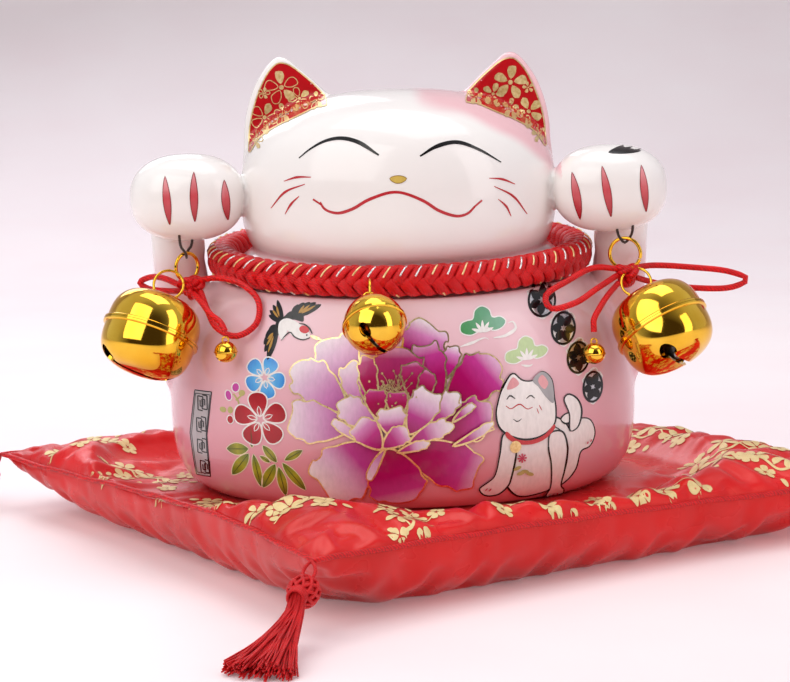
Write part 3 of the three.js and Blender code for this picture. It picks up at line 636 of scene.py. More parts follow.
# %% The glazed skin
def rough_form(bm, outline, depth, y):
    """A spun outline as a closed body."""
    profile = [bm.verts.new((max(r, 0), 0, max(z, 0.4))) for r, z in smooth_path(outline, 60)]
    edges = [bm.edges.new(pair) for pair in zip(profile, profile[1:])]
    bmesh.ops.spin(
        bm, geom=[*profile, *edges], cent=(0, 0, 0), axis=(0, 0, 1), angle=math.tau, steps=72,
        use_merge=True
    )
    bmesh.ops.remove_doubles(bm, verts=bm.verts, dist=0.01)
    return Matrix.Translation((0, y, 0)) @ Matrix.Diagonal((1, depth, 1, 1))


rough = bmesh.new()
for outline, depth, y in ((BODY_OUTLINE, BODY_DEPTH, 0), (HEAD_OUTLINE, HEAD_DEPTH, HEAD_Y)):
    part = bmesh.new()
    part.transform(rough_form(part, outline, depth, y))
    spare = bpy.data.meshes.new("spare")
    part.to_mesh(spare)
    part.free()
    rough.from_mesh(spare)
for side in (-1, 1):
    place = Matrix.Translation((side * PAW[0], PAW[1], PAW[2])) @ Matrix.Diagonal((*PAW_SIZE, 1))
    bmesh.ops.create_uvsphere(rough, u_segments=48, v_segments=32, radius=1.03, matrix=place)
    low, high = Vector(ARM_LOW), Vector(ARM_HIGH)
    low.x, high.x = side * low.x, side * high.x
    along = (high - low).to_track_quat("Z", "Y").to_matrix().to_4x4()
    place = Matrix.Translation((low + high) / 2) @ along
    bmesh.ops.create_cone(
        rough, cap_ends=True, segments=40, radius1=ARM_RADIUS, radius2=ARM_RADIUS, depth=(
            high - low
        ).length, matrix=place
    )
    ear = [rough.verts.new((side * x, -4, z)) for x, z in EAR_SHAPE[:-1:2]]
    plate = bmesh.ops.extrude_face_region(rough, geom=[rough.faces.new(ear)])
    moved = [v for v in plate["geom"] if isinstance(v, bmesh.types.BMVert)]
    bmesh.ops.translate(rough, verts=moved, vec=(0, 13, 0))
bmesh.ops.recalc_face_normals(rough, faces=rough.faces)

skin = bpy.data.objects.new("glazed_cat", bmesh_data("glazed_cat", rough))
scene.collection.objects.link(skin)
cleaned(
    skin,
    ("REMESH", {"mode": "VOXEL", "voxel_size": 1.35, "use_smooth_shade": True}),
)
cleaned(skin, ("SMOOTH", {"factor": 0.5, "iterations": 6}))
where_mm = np.empty(len(skin.data.vertices) * 3)
skin.data.vertices.foreach_get("co", where_mm)
where_mm = onto_surface(where_mm.reshape(-1, 3))
skin.data.vertices.foreach_set("co", where_mm.ravel())
skin.data.update()
cleaned(skin, ("SMOOTH", {"factor": 0.5, "iterations": 2}))
skin.data.vertices.foreach_get("co", where_mm := np.empty(len(skin.data.vertices) * 3))
where_mm = onto_surface(where_mm.reshape(-1, 3), 2)
print("the glazed skin has", len(where_mm), "points")

# %% Zones of the glaze
def step_up(values, low, high):
    share = np.clip((values - low) / (high - low), 0, 1)
    return share * share * (3 - 2 * share)


def tinted(base, code, share):
    return base + (np.array(colour(code)[:3]) - base) * share[:, None]


x, y, z = where_mm.T
wobble = np.array([noise.noise(Vector(p) * 0.045) for p in where_mm])
glaze = np.tile(np.array(colour("#F7F4F1")[:3]), (len(x), 1))
trunk_gap = turned_form(where_mm, body_reach, BODY_CENTRE, BODY_DEPTH, 0)
trunk = (trunk_gap < 2.5) & (z < 112)
pink = np.where(trunk, 1.0, 0.0)
glaze = tinted(glaze, "#EDC3CC", pink * 1.0)
glaze = tinted(glaze, "#E0909F", pink * step_up(-z + 6 * wobble, -75, -5))
glaze = tinted(glaze, "#F3DADD", pink * step_up(z + 8 * wobble, 66, 100) * 0.8)
arm_zone = (np.abs(x) > 82) & (z > 60) & ~trunk
glaze = tinted(glaze, "#EFC7CE", arm_zone * step_up(-z + 5 * wobble, -113, -88))
head_zone = (z > 97) & (np.abs(x) < 71) & ~trunk
edge = 175 - 0.42 * (x - 6) - 0.006 * (x - 30) ** 2
patch = step_up(z + 3 * wobble - edge, -3, 3) * step_up(x + 2 * wobble, 4, 12) * head_zone
glaze = tinted(glaze, "#F3C2C8", patch * 0.95)
shade = skin.data.color_attributes.new("glaze", "FLOAT_COLOR", "POINT")
shade.data.foreach_set("color", np.column_stack([glaze, np.ones(len(x))]).ravel())
skin.data.vertices.foreach_set("co", where_mm.ravel())
skin.data.transform(Matrix.Translation((0, 0, FOOT * MM)) @ Matrix.Scale(MM, 4))
skin.data.update()


# %% Coin slot and base hole
def cut_from(obj, cutter_mesh):
    cutter = bpy.data.objects.new("cutter", cutter_mesh)
    scene.collection.objects.link(cutter)
    cleaned(obj, ("BOOLEAN", {"object": cutter, "operation": "DIFFERENCE", "solver": "EXACT"}))
    bpy.data.objects.remove(cutter)


slot_cutter = bmesh.new()
bmesh.ops.create_cube(
    slot_cutter, size=1,
    matrix=Matrix.Translation(at(0, 52, 152)) @ Matrix.Diagonal((0.036, 0.034, 0.005, 1)),
)
upright = [e for e in slot_cutter.edges if abs(e.verts[0].co.y - e.verts[1].co.y) > 0.01]
bmesh.ops.bevel(
    slot_cutter, geom=upright, offset=0.0022, segments=5, profile=0.5, affect="EDGES", material=-1,
)
cut_from(skin, bmesh_data("slot_cutter", slot_cutter))
hole_cutter = bmesh.new()
for radius, depth in ((0.0213, 0.0026), (0.0171, 0.012)):
    bmesh.ops.create_cone(
        hole_cutter, cap_ends=True, segments=64, radius1=radius, radius2=radius, depth=2 * depth,
        matrix=Matrix.Translation(at(0, 0, 0)),
    )
    cut_from(skin, bmesh_data("hole_cutter", hole_cutter))
    hole_cutter = bmesh.new()
hole_cutter.free()
skin.data.materials.clear()
skin.data.materials.append(porcelain)
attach(skin, "cat")
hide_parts("cat_body")
cat_surface = BVHTree.FromObject(skin, bpy.context.evaluated_depsgraph_get())
print("the glazed cat is made")

# %% [markdown]
# ## Collar
# A herringbone braid of eight flat strands laid round a core. A metallic thread shows on every plait.

# %% Braided collar
def collar_line(start, end, steps):
    """Points round the neck between two angles, with the directions outwards and upwards at each."""
    angle = np.linspace(start, end, steps)
    place = np.column_stack([
        COLLAR_WIDTH * np.cos(angle),
        COLLAR_DEPTH * np.sin(angle),
        COLLAR_HEIGHT + COLLAR_TILT * np.sin(angle) + FOOT,
    ]) * MM
    along = np.gradient(place, axis=0)
    along /= np.linalg.norm(along, axis=1)[:, None]
    up = np.array([0, 0, 1]) - along * along[:, 2:3]
    up /= np.linalg.norm(up, axis=1)[:, None]
    out = np.cross(along, up)
    run = np.concatenate([[0], np.cumsum(np.linalg.norm(np.diff(place, axis=0), axis=1))])
    return place, out, up, run


def flat_strand(path, outward, width, thickness, sides=8):
    """A strand with an oval section whose thin way points outwards."""
    along = np.gradient(path, axis=0)
    along /= np.linalg.norm(along, axis=1)[:, None]
    outward = outward - along * (along * outward).sum(1)[:, None]
    outward /= np.linalg.norm(outward, axis=1)[:, None]
    across = np.cross(along, outward)
    ring = []
    for angle in np.linspace(0, math.tau, sides, endpoint=False):
        ring.append(
            path + across * width / 2 * math.cos(angle) + outward * thickness / 2 * math.sin(angle)
        )
    points = np.stack(ring, axis=1).reshape(-1, 3)
    return points, grid_faces(len(path), sides, wrap_columns=True)


rope_place, rope_out, rope_up, rope_run = collar_line(math.radians(90.4), math.radians(449.6), 900)
PLAIT = 0.0063
TURN_LENGTH = 4 * PLAIT
ROPE_MIDDLE = 0.0051


def strand_path(start, way):
    """One strand's centre line: over its neighbours on two quarters of the rope, under on the others."""
    turn = way * math.tau * rope_run / TURN_LENGTH + start
    lift = way * 0.00105 * np.sin(2 * turn)
    reach = (ROPE_MIDDLE + lift)[:, None]
    outward = np.cos(turn)[:, None] * rope_out + np.sin(turn)[:, None] * rope_up
    return rope_place + reach * outward, outward, turn


braid_points, braid_faces = [], []
metal_paths = {"gold": [], "silver": []}
for k in range(4):
    for way in (1, -1):
        path, outward, turn = strand_path(k * math.pi / 2 + (0 if way > 0 else math.pi / 4), way)
        points, faces = flat_strand(path, outward, 0.0052, 0.0024)
        base = sum(len(p) for p in braid_points)
        braid_points.append(points)
        braid_faces += [tuple(base + i for i in face) for face in faces]
        middle = math.radians(42 if way > 0 else -52)
        half = math.radians(24 if way > 0 else 9)
        near = np.abs((turn - middle + math.pi) % math.tau - math.pi) < half
        thread = path + outward * 0.00125
        stops = np.flatnonzero(np.diff(np.concatenate([[0], near.astype(int), [0]])))
        for a, b in zip(stops[::2], stops[1::2]):
            if b - a > 2:
                metal_paths["gold" if (k + (a // 90)) % 2 else "silver"].append(thread[a:b])
braid_points = np.vstack(braid_points)
braid = add_object(
    "collar_braid", mesh_of("collar_braid", braid_points, braid_faces), braid_red, "cat", ["collar_rope"],
)
core = curve_data("collar_core", [rope_place[::6]], 0.0052)
add_object("collar_core", core, braid_red, "cat")
silver_thread, tree, shader = new_material("silver_metal_thread", Metallic=1.0)
# Slit foil wound on thread: short bright and dull stretches.
foil = noise_value(tree, object_point(tree), 800.0)
wire(tree, ramp(tree, foil, [(0.3, "#C9C6C2"), (0.7, "#FFFFFF")]), shader, "Base Color")
wire(tree, vary(tree, foil, 0.15, 0.4), shader, "Roughness")
for kind, paths in metal_paths.items():
    thread = add_object(
        f"collar_{kind}_thread",
        curve_data(f"collar_{kind}_thread", paths, 0.00042, resolution=1),
        metal_thread if kind == "gold" else silver_thread,
        "cat",
    )
print("the collar has", len(metal_paths["gold"]) + len(metal_paths["silver"]), "metallic stitches")

# %% Whipping over the collar's joint
whip_place, whip_out, whip_up, whip_run = collar_line(math.radians(84.2), math.radians(95.8), 420)
whip_turn = math.tau * whip_run / 0.0014
whip_reach = 0.0079 - 0.0004 * (2 * whip_run / whip_run[-1] - 1)[:, None] ** 8
whip_path = whip_place + whip_reach * (
    np.cos(whip_turn)[:, None] * whip_out + np.sin(whip_turn)[:, None] * whip_up
)
whipping = add_object(
    "collar_whipping", curve_data("collar_whipping", [whip_path], 0.00074), satin_cord, "cat",
    ["collar_binding"]
)

# %% [markdown]
# ## Bells, rings and knots

# %% Bells
def bell_quarter(radius, length, power, steps):
    """From the rim to the crown."""
    angle = np.linspace(0, math.pi / 2, steps)
    reach = ((np.cos(angle) / radius) ** power + (np.sin(angle) / length) ** power) ** (-1 / power)
    return [(r * math.cos(a), r * math.sin(a)) for r, a in zip(reach, angle)]


def bell_shell(radius, length, power, wall, flange, slotted):
    """Half of a pressed bell with its crimped flange, crown up. The lower half has the sound slot."""
    bm = bmesh.new()
    inside = bell_quarter(radius - wall, length - wall, power, 14)[::-1]
    rim = 0.00008
    tall = flange * 1.25
    band = [
        (radius + flange, rim), (radius + flange, tall * 0.7), (radius + flange * 0.7, tall),
        (radius, tall * 1.15),
    ]
    outside = [p for p in bell_quarter(radius, length, power, 34) if p[1] > tall * 1.3]
    inside[0] = (0, inside[0][1])
    outside[-1] = (0, outside[-1][1])
    inside[-1] = (inside[-1][0], rim)
    verts = [bm.verts.new((r, 0, z)) for r, z in [*inside, *band, *outside]]
    edges = [bm.edges.new(pair) for pair in zip(verts, verts[1:])]
    bmesh.ops.spin(
        bm, geom=[*verts, *edges], cent=(0, 0, 0), axis=(0, 0, 1), angle=math.tau, steps=96,
        use_merge=True
    )
    bmesh.ops.remove_doubles(bm, verts=bm.verts, dist=0.000002)
    shell = bpy.data.objects.new("bell_half", bmesh_data("bell_half", bm))
    scene.collection.objects.link(shell)
    if slotted:
        width = radius * 0.13
        cutter = bmesh.new()
        place = Matrix.Translation((0, 0, length)) @ Matrix.Diagonal(
            (1.44 * radius, width, length * 1.5, 1)
        )
        bmesh.ops.create_cube(cutter, size=1, matrix=place)
        cut_from(shell, bmesh_data("slot", cutter))
        for side in (-1, 1):
            cutter = bmesh.new()
            place = Matrix.Translation((side * 0.72 * radius, 0, length))
            bmesh.ops.create_cone(
                cutter, cap_ends=True, segments=40, radius1=width * 1.35, radius2=width * 1.35,
                depth=length * 1.6,
                matrix=place,
            )
            cut_from(shell, bmesh_data("slot_end", cutter))
        shell.data.transform(Matrix.Rotation(math.pi, 4, "X"))
    mesh = shell.data
    bpy.data.objects.remove(shell)
    mesh.set_sharp_from_angle(angle=math.radians(38))
    return mesh


def wire_ring(name, centre, normal, radius, wire_radius, body, replaces=()):
    """A round wire ring with the hairline gap where its ends meet."""
    turn = Vector((0, 0, 1)).rotation_difference(Vector(normal)).to_matrix()
    angle = np.linspace(0.03, math.tau - 0.03, 60)
    path = [
        Vector(centre) + turn @ Vector((radius * math.cos(a), radius * math.sin(a), 0))
        for a in angle
    ]
    piece = add_object(name, curve_data(name, [path], wire_radius), plating, body, replaces)
    return piece


def bell_frame(centre, axis, twist):
    up = Vector((0, 0, 1)).rotation_difference(Vector(axis)).to_matrix().to_4x4()
    return Matrix.Translation(centre) @ up @ Matrix.Rotation(math.radians(twist), 4, "Z"), up


def make_bell(name, centre, axis, twist, size, power, eye, body, nodes):
    radius, length = size
    frame_matrix, up = bell_frame(centre, axis, twist)
    flange = min(radius * 0.05, 0.0011)
    for half, slotted, node in (("upper", False, nodes[0]), ("lower", True, nodes[1])):
        mesh = bell_shell(radius, length, power, radius * 0.05 + 0.0002, flange, slotted)
        mesh.transform(frame_matrix)
        piece = add_object(f"{name}_{half}_half", mesh, plating, body, [node] if node else [])
    eye_radius, eye_wire = eye
    place = Vector(centre) + up.to_3x3() @ Vector((0, 0, length + eye_radius - 0.0008))
    wire_ring(f"{name}_eye", place, up.to_3x3() @ Vector((0, 1, 0)), eye_radius, eye_wire, body)


BIG_BELL, BIG_BELL_POWER = (0.0202, 0.0178), 3.1
make_bell(
    "left_bell", at(-107.9, -51, 74.8), (0.354, 0.42, 0.935), 20, BIG_BELL, BIG_BELL_POWER,
    (0.0064, 0.0006),
    "left_bell", ("left_bell_upper", "left_bell_lower"),
)
make_bell(
    "right_bell", at(112, -50, 72.8), (-0.476, 0.5, 0.88), 70, BIG_BELL, BIG_BELL_POWER, (0.0064, 0.0006),
    "right_bell", ("right_bell_upper", "right_bell_lower"),
)
make_bell(
    "collar_bell", at(-11.3, -90.5, 82.6), (-0.15, 0.72, 0.68), 60, (0.0129, 0.0129), 2.0,
    (0.0024, 0.0006),
    "collar_bell", ("collar_bell_upper", "collar_bell_lower"),
)
for side, place in (("left", (-75, -63.5, 68.4)), ("right", (82, -57.5, 63.2))):
    make_bell(
        f"{side}_small_bell", at(*place), (0, 0, 1), 35, (0.0049, 0.0046), 2.0, (0.0013, 0.0004),
        f"{side}_small_bell", (f"{side}_small_bell_shell", None),
    )
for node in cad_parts:
    if node.endswith("pellet"):
        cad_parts[node].data.materials.clear()
        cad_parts[node].data.materials.append(steel)
        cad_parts[node].data.shade_smooth()

# %% Rings, threads and knots
for side, place, radius, turn in (
    ("left", (-92.8, -33.5, 101.6), 6.0, 42), ("right", (98, -33, 103), 6.8, -18),
):
    facing = (-math.sin(math.radians(turn)), math.cos(math.radians(turn)), 0)
    wire_ring(
        f"{side}_hanging_ring", at(*place), facing, radius * MM, 0.0008, f"{side}_hanger",
        [f"{side}_ring"],
    )
eye_axis = Vector((-0.15, 0.72, 0.68)).normalized()
collar_eye = at(-11.3, -90.5, 82.6) + eye_axis * 0.0143
ring_middle = collar_eye + Vector((0.08, 0.97, 0.2)).normalized() * 0.0058
wire_ring("collar_jump_ring", ring_middle, (1, 0, 0), 0.0058, 0.0006, "collar_ring", ["collar_bell_ring"])

for side in ("left", "right"):
    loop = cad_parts[f"{side}_thread_loop"]
    loop.data.materials.clear()
    loop.data.materials.append(black_thread)
    loop.data.shade_smooth()


def knot_path(centre, size, turn):
    """A pulled-tight knot: three lobes that cross over and under."""
    points = []
    for t in np.linspace(0, math.tau, 90, endpoint=False):
        lobe = Vector(
            (math.sin(t) + 1.7 * math.sin(2 * t), -math.sin(3 * t), math.cos(t) - 1.7 * math.cos(2 * t))
        )
        lobe = Vector((lobe.x * size[0] / 2.6, lobe.y * size[1], lobe.z * size[2] / 2.7)) * MM
        points.append(at(*centre) + Matrix.Rotation(math.radians(turn), 3, "Z") @ lobe)
    return points


for side, centre, turn in (("left", (-91, -36.3, 93.4), 25), ("right", (98.5, -34.5, 94.3), -20)):
    paths = [knot_path(centre, (4.6, 2.9, 4.6), turn), knot_path(centre, (3.0, 2.2, 3.2), turn + 80)]
    knot = add_object(
        f"{side}_bow_knot_cord",
        curve_data(f"{side}_bow_knot_cord", paths, 0.00155, closed=True, resolution=4),
        satin_cord,
        f"{side}_hanger",
        [f"{side}_bow_knot"],
    )

# %% The small bell pieces on each tail cord are gathered in a list
for name, (cord, path, length) in bow_cords.items():
    side = name.split("_")[0]
    tail = name.endswith("tail")
    carried = []
    if tail:
        carried = [
            bpy.data.objects[f"{side}_small_bell_upper_half"],
            bpy.data.objects[f"{side}_small_bell_lower_half"],
        ]
        carried += [
            bpy.data.objects[f"{side}_small_bell_eye"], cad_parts[f"{side}_small_bell_pellet"],
        ]

# %% [markdown]
# ## Tassels
# A cord loop, a head netted over with thread, and a skirt of single threads that has sunk onto the floor.

# %% Tassels
CUSHION_SIDE, CUSHION_TURN, CUSHION_MIDDLE, CUSHION_BOW, CUSHION_LEAN = 296, 32, (11, 16), 0.06, -0.03
SEAM, RISE_TOP, FRONT_LIFT = 20, 15, 9.5


def cushion_point(u, v):
    """A point of the cushion's square, from its two shares between -1 and 1, mm."""
    half = CUSHION_SIDE / 2
    x = half * u * (1 - CUSHION_BOW * (1 - v * v))
    y = half * v * (1 - CUSHION_BOW * (1 - u * u))
    turn = math.radians(CUSHION_TURN)
    return (
        x * math.cos(turn) - y * math.sin(turn) + CUSHION_MIDDLE[0],
        x * math.sin(turn) + y * math.cos(turn) + CUSHION_MIDDLE[1],
    )


def make_tassel(name, u, v, seed):
    rng = random.Random(seed)
    cx, cy = cushion_point(u, v)
    seam = SEAM + CUSHION_LEAN * cx
    turn = math.atan2(cy - CUSHION_MIDDLE[1], cx - CUSHION_MIDDLE[0]) + math.radians(-8)
    place = Matrix.Translation((cx * MM, cy * MM, 0)) @ Matrix.Rotation(turn, 4, "Z")

    def placed(points):
        return [place @ Vector((x * MM, y * MM, z * MM)) for x, y, z in points]

    head_x, head_z, head = 9.3, min(15, seam - 5.8) + (6 if v < 0 else 0), 5.9
    netting = []
    for way in (-1, 1):
        for k in range(9):
            line = []
            for t in np.linspace(0.06, 0.97, 16):
                ring = head * math.sin(math.pi * t) ** 0.8
                a = math.tau * k / 9 + way * 2.2 * t
                line.append(
                    (
                        head_x - head * math.cos(math.pi * t), ring * math.cos(a),
                        head_z + ring * math.sin(a),
                    )
                )
            netting.append(placed(line))
    for wrap in range(5):
        x = head_x + head * 0.78 + wrap * 0.75
        netting.append(
            placed(
                [
                    (x, 3.3 * math.cos(a), head_z - 0.2 * wrap + 3.3 * math.sin(a))
                    for a in np.linspace(0, math.tau, 25)
                ]
            )
        )
    half = 2.5
    low = (head_x - 2.6, head_z + 2.6)
    corner = seam + (FRONT_LIFT if v < 0 else 0)
    loop = [
        (1.2, 0, corner), (3.5, half, (corner + low[1]) / 2), (low[0], 0, low[1]),
        (3.5, -half, (corner + low[1]) / 2),
    ]
    netting.append([Vector(p) for p in smooth_path(placed(loop), 24, closed=True)])
    net = add_object(
        f"{name}_tassel_netting",
        curve_data(f"{name}_tassel_netting", netting, 0.00072, resolution=2),
        tassel_silk,
        f"{name}_tassel",
        [f"{name}_tassel_loop"],
    )

    ball = bmesh.new()
    bmesh.ops.create_uvsphere(
        ball, u_segments=28, v_segments=20, radius=(head - 0.5) * MM,
        matrix=place @ Matrix.Translation((head_x * MM, 0, head_z * MM)),
    )
    knob = add_object(
        f"{name}_tassel_knob", bmesh_data(f"{name}_tassel_knob", ball), tassel_silk, f"{name}_tassel",
        [f"{name}_tassel_head"],
    )

    strands = []
    start = head_x + head * 0.8
    for _ in range(230):
        a, r = rng.uniform(0, math.tau), 3.1 * math.sqrt(rng.random())
        side, deep = r * math.cos(a), r * math.sin(a)
        fan = rng.uniform(-1, 1)
        fan = fan * abs(fan) ** -0.15 * 14.4
        reach = rng.uniform(0.88, 1.0) * 45 * (1 - 0.1 * (fan / 14.4) ** 2)
        lie = rng.uniform(0.6, 7.2) * (1 - 0.45 * (fan / 15) ** 2)
        sway, phase = rng.uniform(-1.3, 1.3), rng.uniform(0, 6)
        line = []
        for t in np.linspace(0, 1, 9):
            settled = math.sqrt(t)
            y = side * (1 - t) + fan * t**1.25 + sway * math.sin(3.2 * t + phase) * t
            z = (head_z + deep) * (1 - settled) + lie * settled + 0.35 * math.sin(7 * t + phase) * t
            line.append((start + reach * t, y, max(z, 0.5)))
        strands.append(placed(line))
    skirt = add_object(
        f"{name}_tassel_threads",
        curve_data(
            f"{name}_tassel_threads", strands, 0.00048, radii=np.linspace(1.0, 0.75, 9), resolution=1,
        ),
        tassel_silk,
        f"{name}_tassel",
        [f"{name}_tassel_skirt"],
    )


for seed, (name, u, v) in enumerate(
    (("front", -1, -1), ("right", 1, -1), ("back", 1, 1), ("left", -1, 1))
):
    make_tassel(name, u, v, 40 + seed)
print("the tassels are made")

# %% [markdown]
# ## Cushion
# A closed satin cover, pressed flat under the cat and on the floor. Cloth puckers along the pinned
# seam as pressure fills it, and long soft folds run out from under the cat.

# %% Satin
def satin(name, deep, light):
    """Warp-faced satin: a fine weave, silky sheen across the folds and a darker shade in them."""
    material, tree, shader = new_material(
        name, Sheen_Weight=0.04, Anisotropic=0.5, Specular_IOR_Level=0.75, Specular_Tint=(
            1.0, 0.42, 0.36, 1.0,
        )
    )
    where = object_point(tree)
    warp = add_node(
        tree, "ShaderNodeTexWave", {"Vector": where, "Scale": 900.0, "Distortion": 0.6},
        bands_direction="X"
    ).outputs["Fac"]
    weft = add_node(
        tree, "ShaderNodeTexWave", {"Vector": where, "Scale": 620.0, "Distortion": 0.6},
        bands_direction="Y"
    ).outputs["Fac"]
    weave = math_node(tree, "MULTIPLY", warp, weft)
    drift = noise_value(tree, where, 16.0, 4.0)
    wire(tree, ramp(tree, drift, [(0.3, deep), (0.75, light)]), shader, "Base Color")
    wire(tree, vary(tree, noise_value(tree, where, 45.0), 0.22, 0.34), shader, "Roughness")
    bump(tree, shader, weave, 0.00006, 0.3)
    return material


satin_plain = satin("red_satin_plain", "#B90006", "#E30610")
satin_ground = satin("red_satin_brocade_ground", "#BC0007", "#E80811")
piping_satin = cord_material("red_satin_piping", "#A80006", "#DE0A12", 300.0, 0.04)

# %% Cushion cover
CELLS = 100
SEAT_X, SEAT_Y, SEAT_TOP = 110.5, 92.4, 23.7  # the hollow that the cat presses into the cushion, mm


def smooth_step(value, low, high):
    share = min(max((value - low) / (high - low), 0), 1)
    return share * share * (3 - 2 * share)


def seam_height(u, v):
    """The filled front of the cushion carries its seam higher than the back does."""
    return SEAM + CUSHION_LEAN * cushion_point(u, v)[0] + FRONT_LIFT * (1 - smooth_step(v, -0.6, 0.9))


def fullness(u, v):
    return math.sqrt(max((1 - u**4) * (1 - v**4), 0))


def top_of_cushion(u, v):
    x, y = cushion_point(u, v)
    away = math.hypot(x / SEAT_X, y / SEAT_Y)
    pressed = SEAT_TOP + 30 * smooth_step(away, 1.02, 1.7)
    full = seam_height(u, v) + 0.6 + RISE_TOP * fullness(u, v)
    left = 3.2 * math.exp(-(((x + 130) / 45) ** 2 + ((y - 20) / 70) ** 2))
    fold = (1.5 - 0.9 * v) * math.sin(9 * math.atan2(y, x) + 3 * noise.noise(Vector((x, y, 0)) * 0.01))
    fold += (1.1 - 0.7 * v) * math.sin(17 * math.atan2(y, x) + 5 * noise.noise(Vector((x, y, 9)) * 0.012))
    fold *= smooth_step(away, 1.02, 1.3) * fullness(u, v)
    height = full + (left + fold) * min(fullness(u, v) * 1.4, 1)
    return -math.log(
        math.exp(-height / 1.6) + math.exp(-(pressed + fold * 0.6) / 1.6)
    ) * 1.6 if away > 1.0 else min(height, SEAT_TOP)


def bottom_of_cushion(u, v):
    start = seam_height(u, v) - 0.6
    return max(start * (1 - 1.45 * fullness(u, v)), 0.05)


def edge_pucker(u, v):
    """Gathers along the seam: short ridges that fade towards the middle."""
    near = 1 - max(abs(u), abs(v))
    along = u if abs(v) > abs(u) else v
    wave = math.sin(
        along * 46 + 4 * noise.noise(Vector((u, v, 0)) * 3)
    ) + 0.5 * math.sin(along * 81 + 1.3)
    return 1.25 * wave * smooth_step(near, 0.0, 0.05) * (1 - smooth_step(near, 0.06, 0.26))


rim_heights = {}


def cover_points(side):
    points = []
    for j in range(CELLS + 1):
        for i in range(CELLS + 1):
            u, v = (
                math.sin(math.pi / 2 * (2 * k / CELLS - 1)) * 0.35 + 0.65 * (2 * k / CELLS - 1)
                for k in (i, j)
            )
            x, y = cushion_point(u, v)
            height = top_of_cushion(u, v) if side > 0 else bottom_of_cushion(u, v)
            rim_heights[len(points)] = seam_height(u, v)
            pucker = edge_pucker(u, v) * (1 if height > 1 else 0)
            points.append((x, y, height + side * pucker))
    return points


top_points, bottom_points = cover_points(1), cover_points(-1)
rim = [
    j * (CELLS + 1) + i
    for j in range(CELLS + 1)
    for i in range(CELLS + 1)
    if i in (0, CELLS) or j in (0, CELLS)
]
for k in rim:
    x, y, _ = top_points[k]
    top_points[k] = bottom_points[k] = (x, y, rim_heights[k])
cover = bmesh.new()
for points in (top_points, bottom_points):
    verts = [cover.verts.new((x * MM, y * MM, z * MM)) for x, y, z in points]
    for face in grid_faces(CELLS + 1, CELLS + 1):
        cover.faces.new([verts[k] for k in face]).material_index = 0 if points is top_points else 1
bmesh.ops.remove_doubles(cover, verts=cover.verts, dist=0.00002)
cushion = bpy.data.objects.new("satin_cushion", bmesh_data("satin_cushion", cover))
scene.collection.objects.link(cushion)
cushion.data.materials.append(satin_ground)
cushion.data.materials.append(satin_plain)

# %% Cloth fills the cover
start = np.empty(len(cushion.data.vertices) * 3)
cushion.data.vertices.foreach_get("co", start)
start = start.reshape(-1, 3)
held = cushion.vertex_groups.new(name="held")
seam_keys = {(round(top_points[k][0], 2), round(top_points[k][1], 2)) for k in rim}
for index, (x, y, z) in enumerate(start / MM):
    under_cat = math.hypot(x / SEAT_X, y / SEAT_Y) < 0.99
    if under_cat or z < 0.3 or (round(x, 2), round(y, 2)) in seam_keys:
        held.add([index], 1.0, "REPLACE")
cloth = cushion.modifiers.new("cloth", "CLOTH")
cloth.settings.vertex_group_mass = "held"
cloth.settings.use_pressure = True
cloth.settings.uniform_pressure_force = 4
cloth.settings.shrink_min = -0.035
cloth.settings.tension_stiffness = 12
cloth.settings.bending_stiffness = 0.25
cloth.settings.effector_weights.gravity = 0
cloth.settings.quality = 5
cloth.point_cache.frame_end = 20
for step in range(1, 21):
    scene.frame_set(step)
settled = cushion.evaluated_get(bpy.context.evaluated_depsgraph_get())
after = np.empty(len(start) * 3)
settled.data.vertices.foreach_get("co", after)
moved = after.reshape(-1, 3) - start
length = np.linalg.norm(moved, axis=1)
CAP = 0.006
moved *= (CAP * np.tanh(length / CAP) / np.maximum(length, 1e-9))[:, None]
cushion.modifiers.clear()
final = start + moved
final[:, 2] = np.maximum(final[:, 2], 0.0)
cushion.data.vertices.foreach_set("co", final.ravel())
scene.frame_set(1)
print("cloth moved the cover by up to", round(float(length.max()) / MM, 1), "mm")
cleaned(cushion, ("SUBSURF", {"levels": 1, "render_levels": 1}))
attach(cushion, "cushion")
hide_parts("cushion_top_panel", "cushion_bottom_panel", "cushion_filling")
cushion_surface = BVHTree.FromObject(cushion, bpy.context.evaluated_depsgraph_get())

# %% Rolled seam
seam_line = []
for a, b in (((-1, -1), (1, -1)), ((1, -1), (1, 1)), ((1, 1), (-1, 1)), ((-1, 1), (-1, -1))):
    for t in np.linspace(0, 1, 70, endpoint=False):
        u, v = (p + (q - p) * t for p, q in zip(a, b))
        x, y = cushion_point(u, v)
        seam_line.append((x * MM, y * MM, (seam_height(u, v) + 0.25 * math.sin(40 * t)) * MM))
piping = add_object(
    "cushion_piping", curve_data("cushion_piping", [seam_line], 0.0011, closed=True), piping_satin,
    "cushion"
)

# %% Rubber stopper in the base
STOPPER_PROFILE = [
    (0, 0.35), (18.9, 0.35), (20.2, 0.6), (20.65, 1.2), (20.65, 1.9), (20.3, 2.3), (16.8, 2.3),
    (16.65, 2.6),
    (16.65, 7.9), (16.3, 8.6), (15.6, 8.95), (0, 8.95),
]
TURNS = 56
points = [
    at(radius * math.cos(math.tau * k / TURNS), radius * math.sin(math.tau * k / TURNS), height)
    for radius, height in STOPPER_PROFILE
    for k in range(TURNS)
]
stopper = add_object(
    "rubber_stopper",
    mesh_of("rubber_stopper", points, grid_faces(len(STOPPER_PROFILE), TURNS, False, True)),
    rubber,
    "stopper",
    ["base_stopper"],
)
cleaned(stopper, ("WELD", {"merge_threshold": 0.00001}))
print("the stopper sits in the base")

# %% [markdown]
# ## Painted decoration
# Each shape is drawn flat, cut into small cells and laid on the glaze along one direction, so it
# follows the curve of the cat. Later shapes lie a hair above earlier ones.

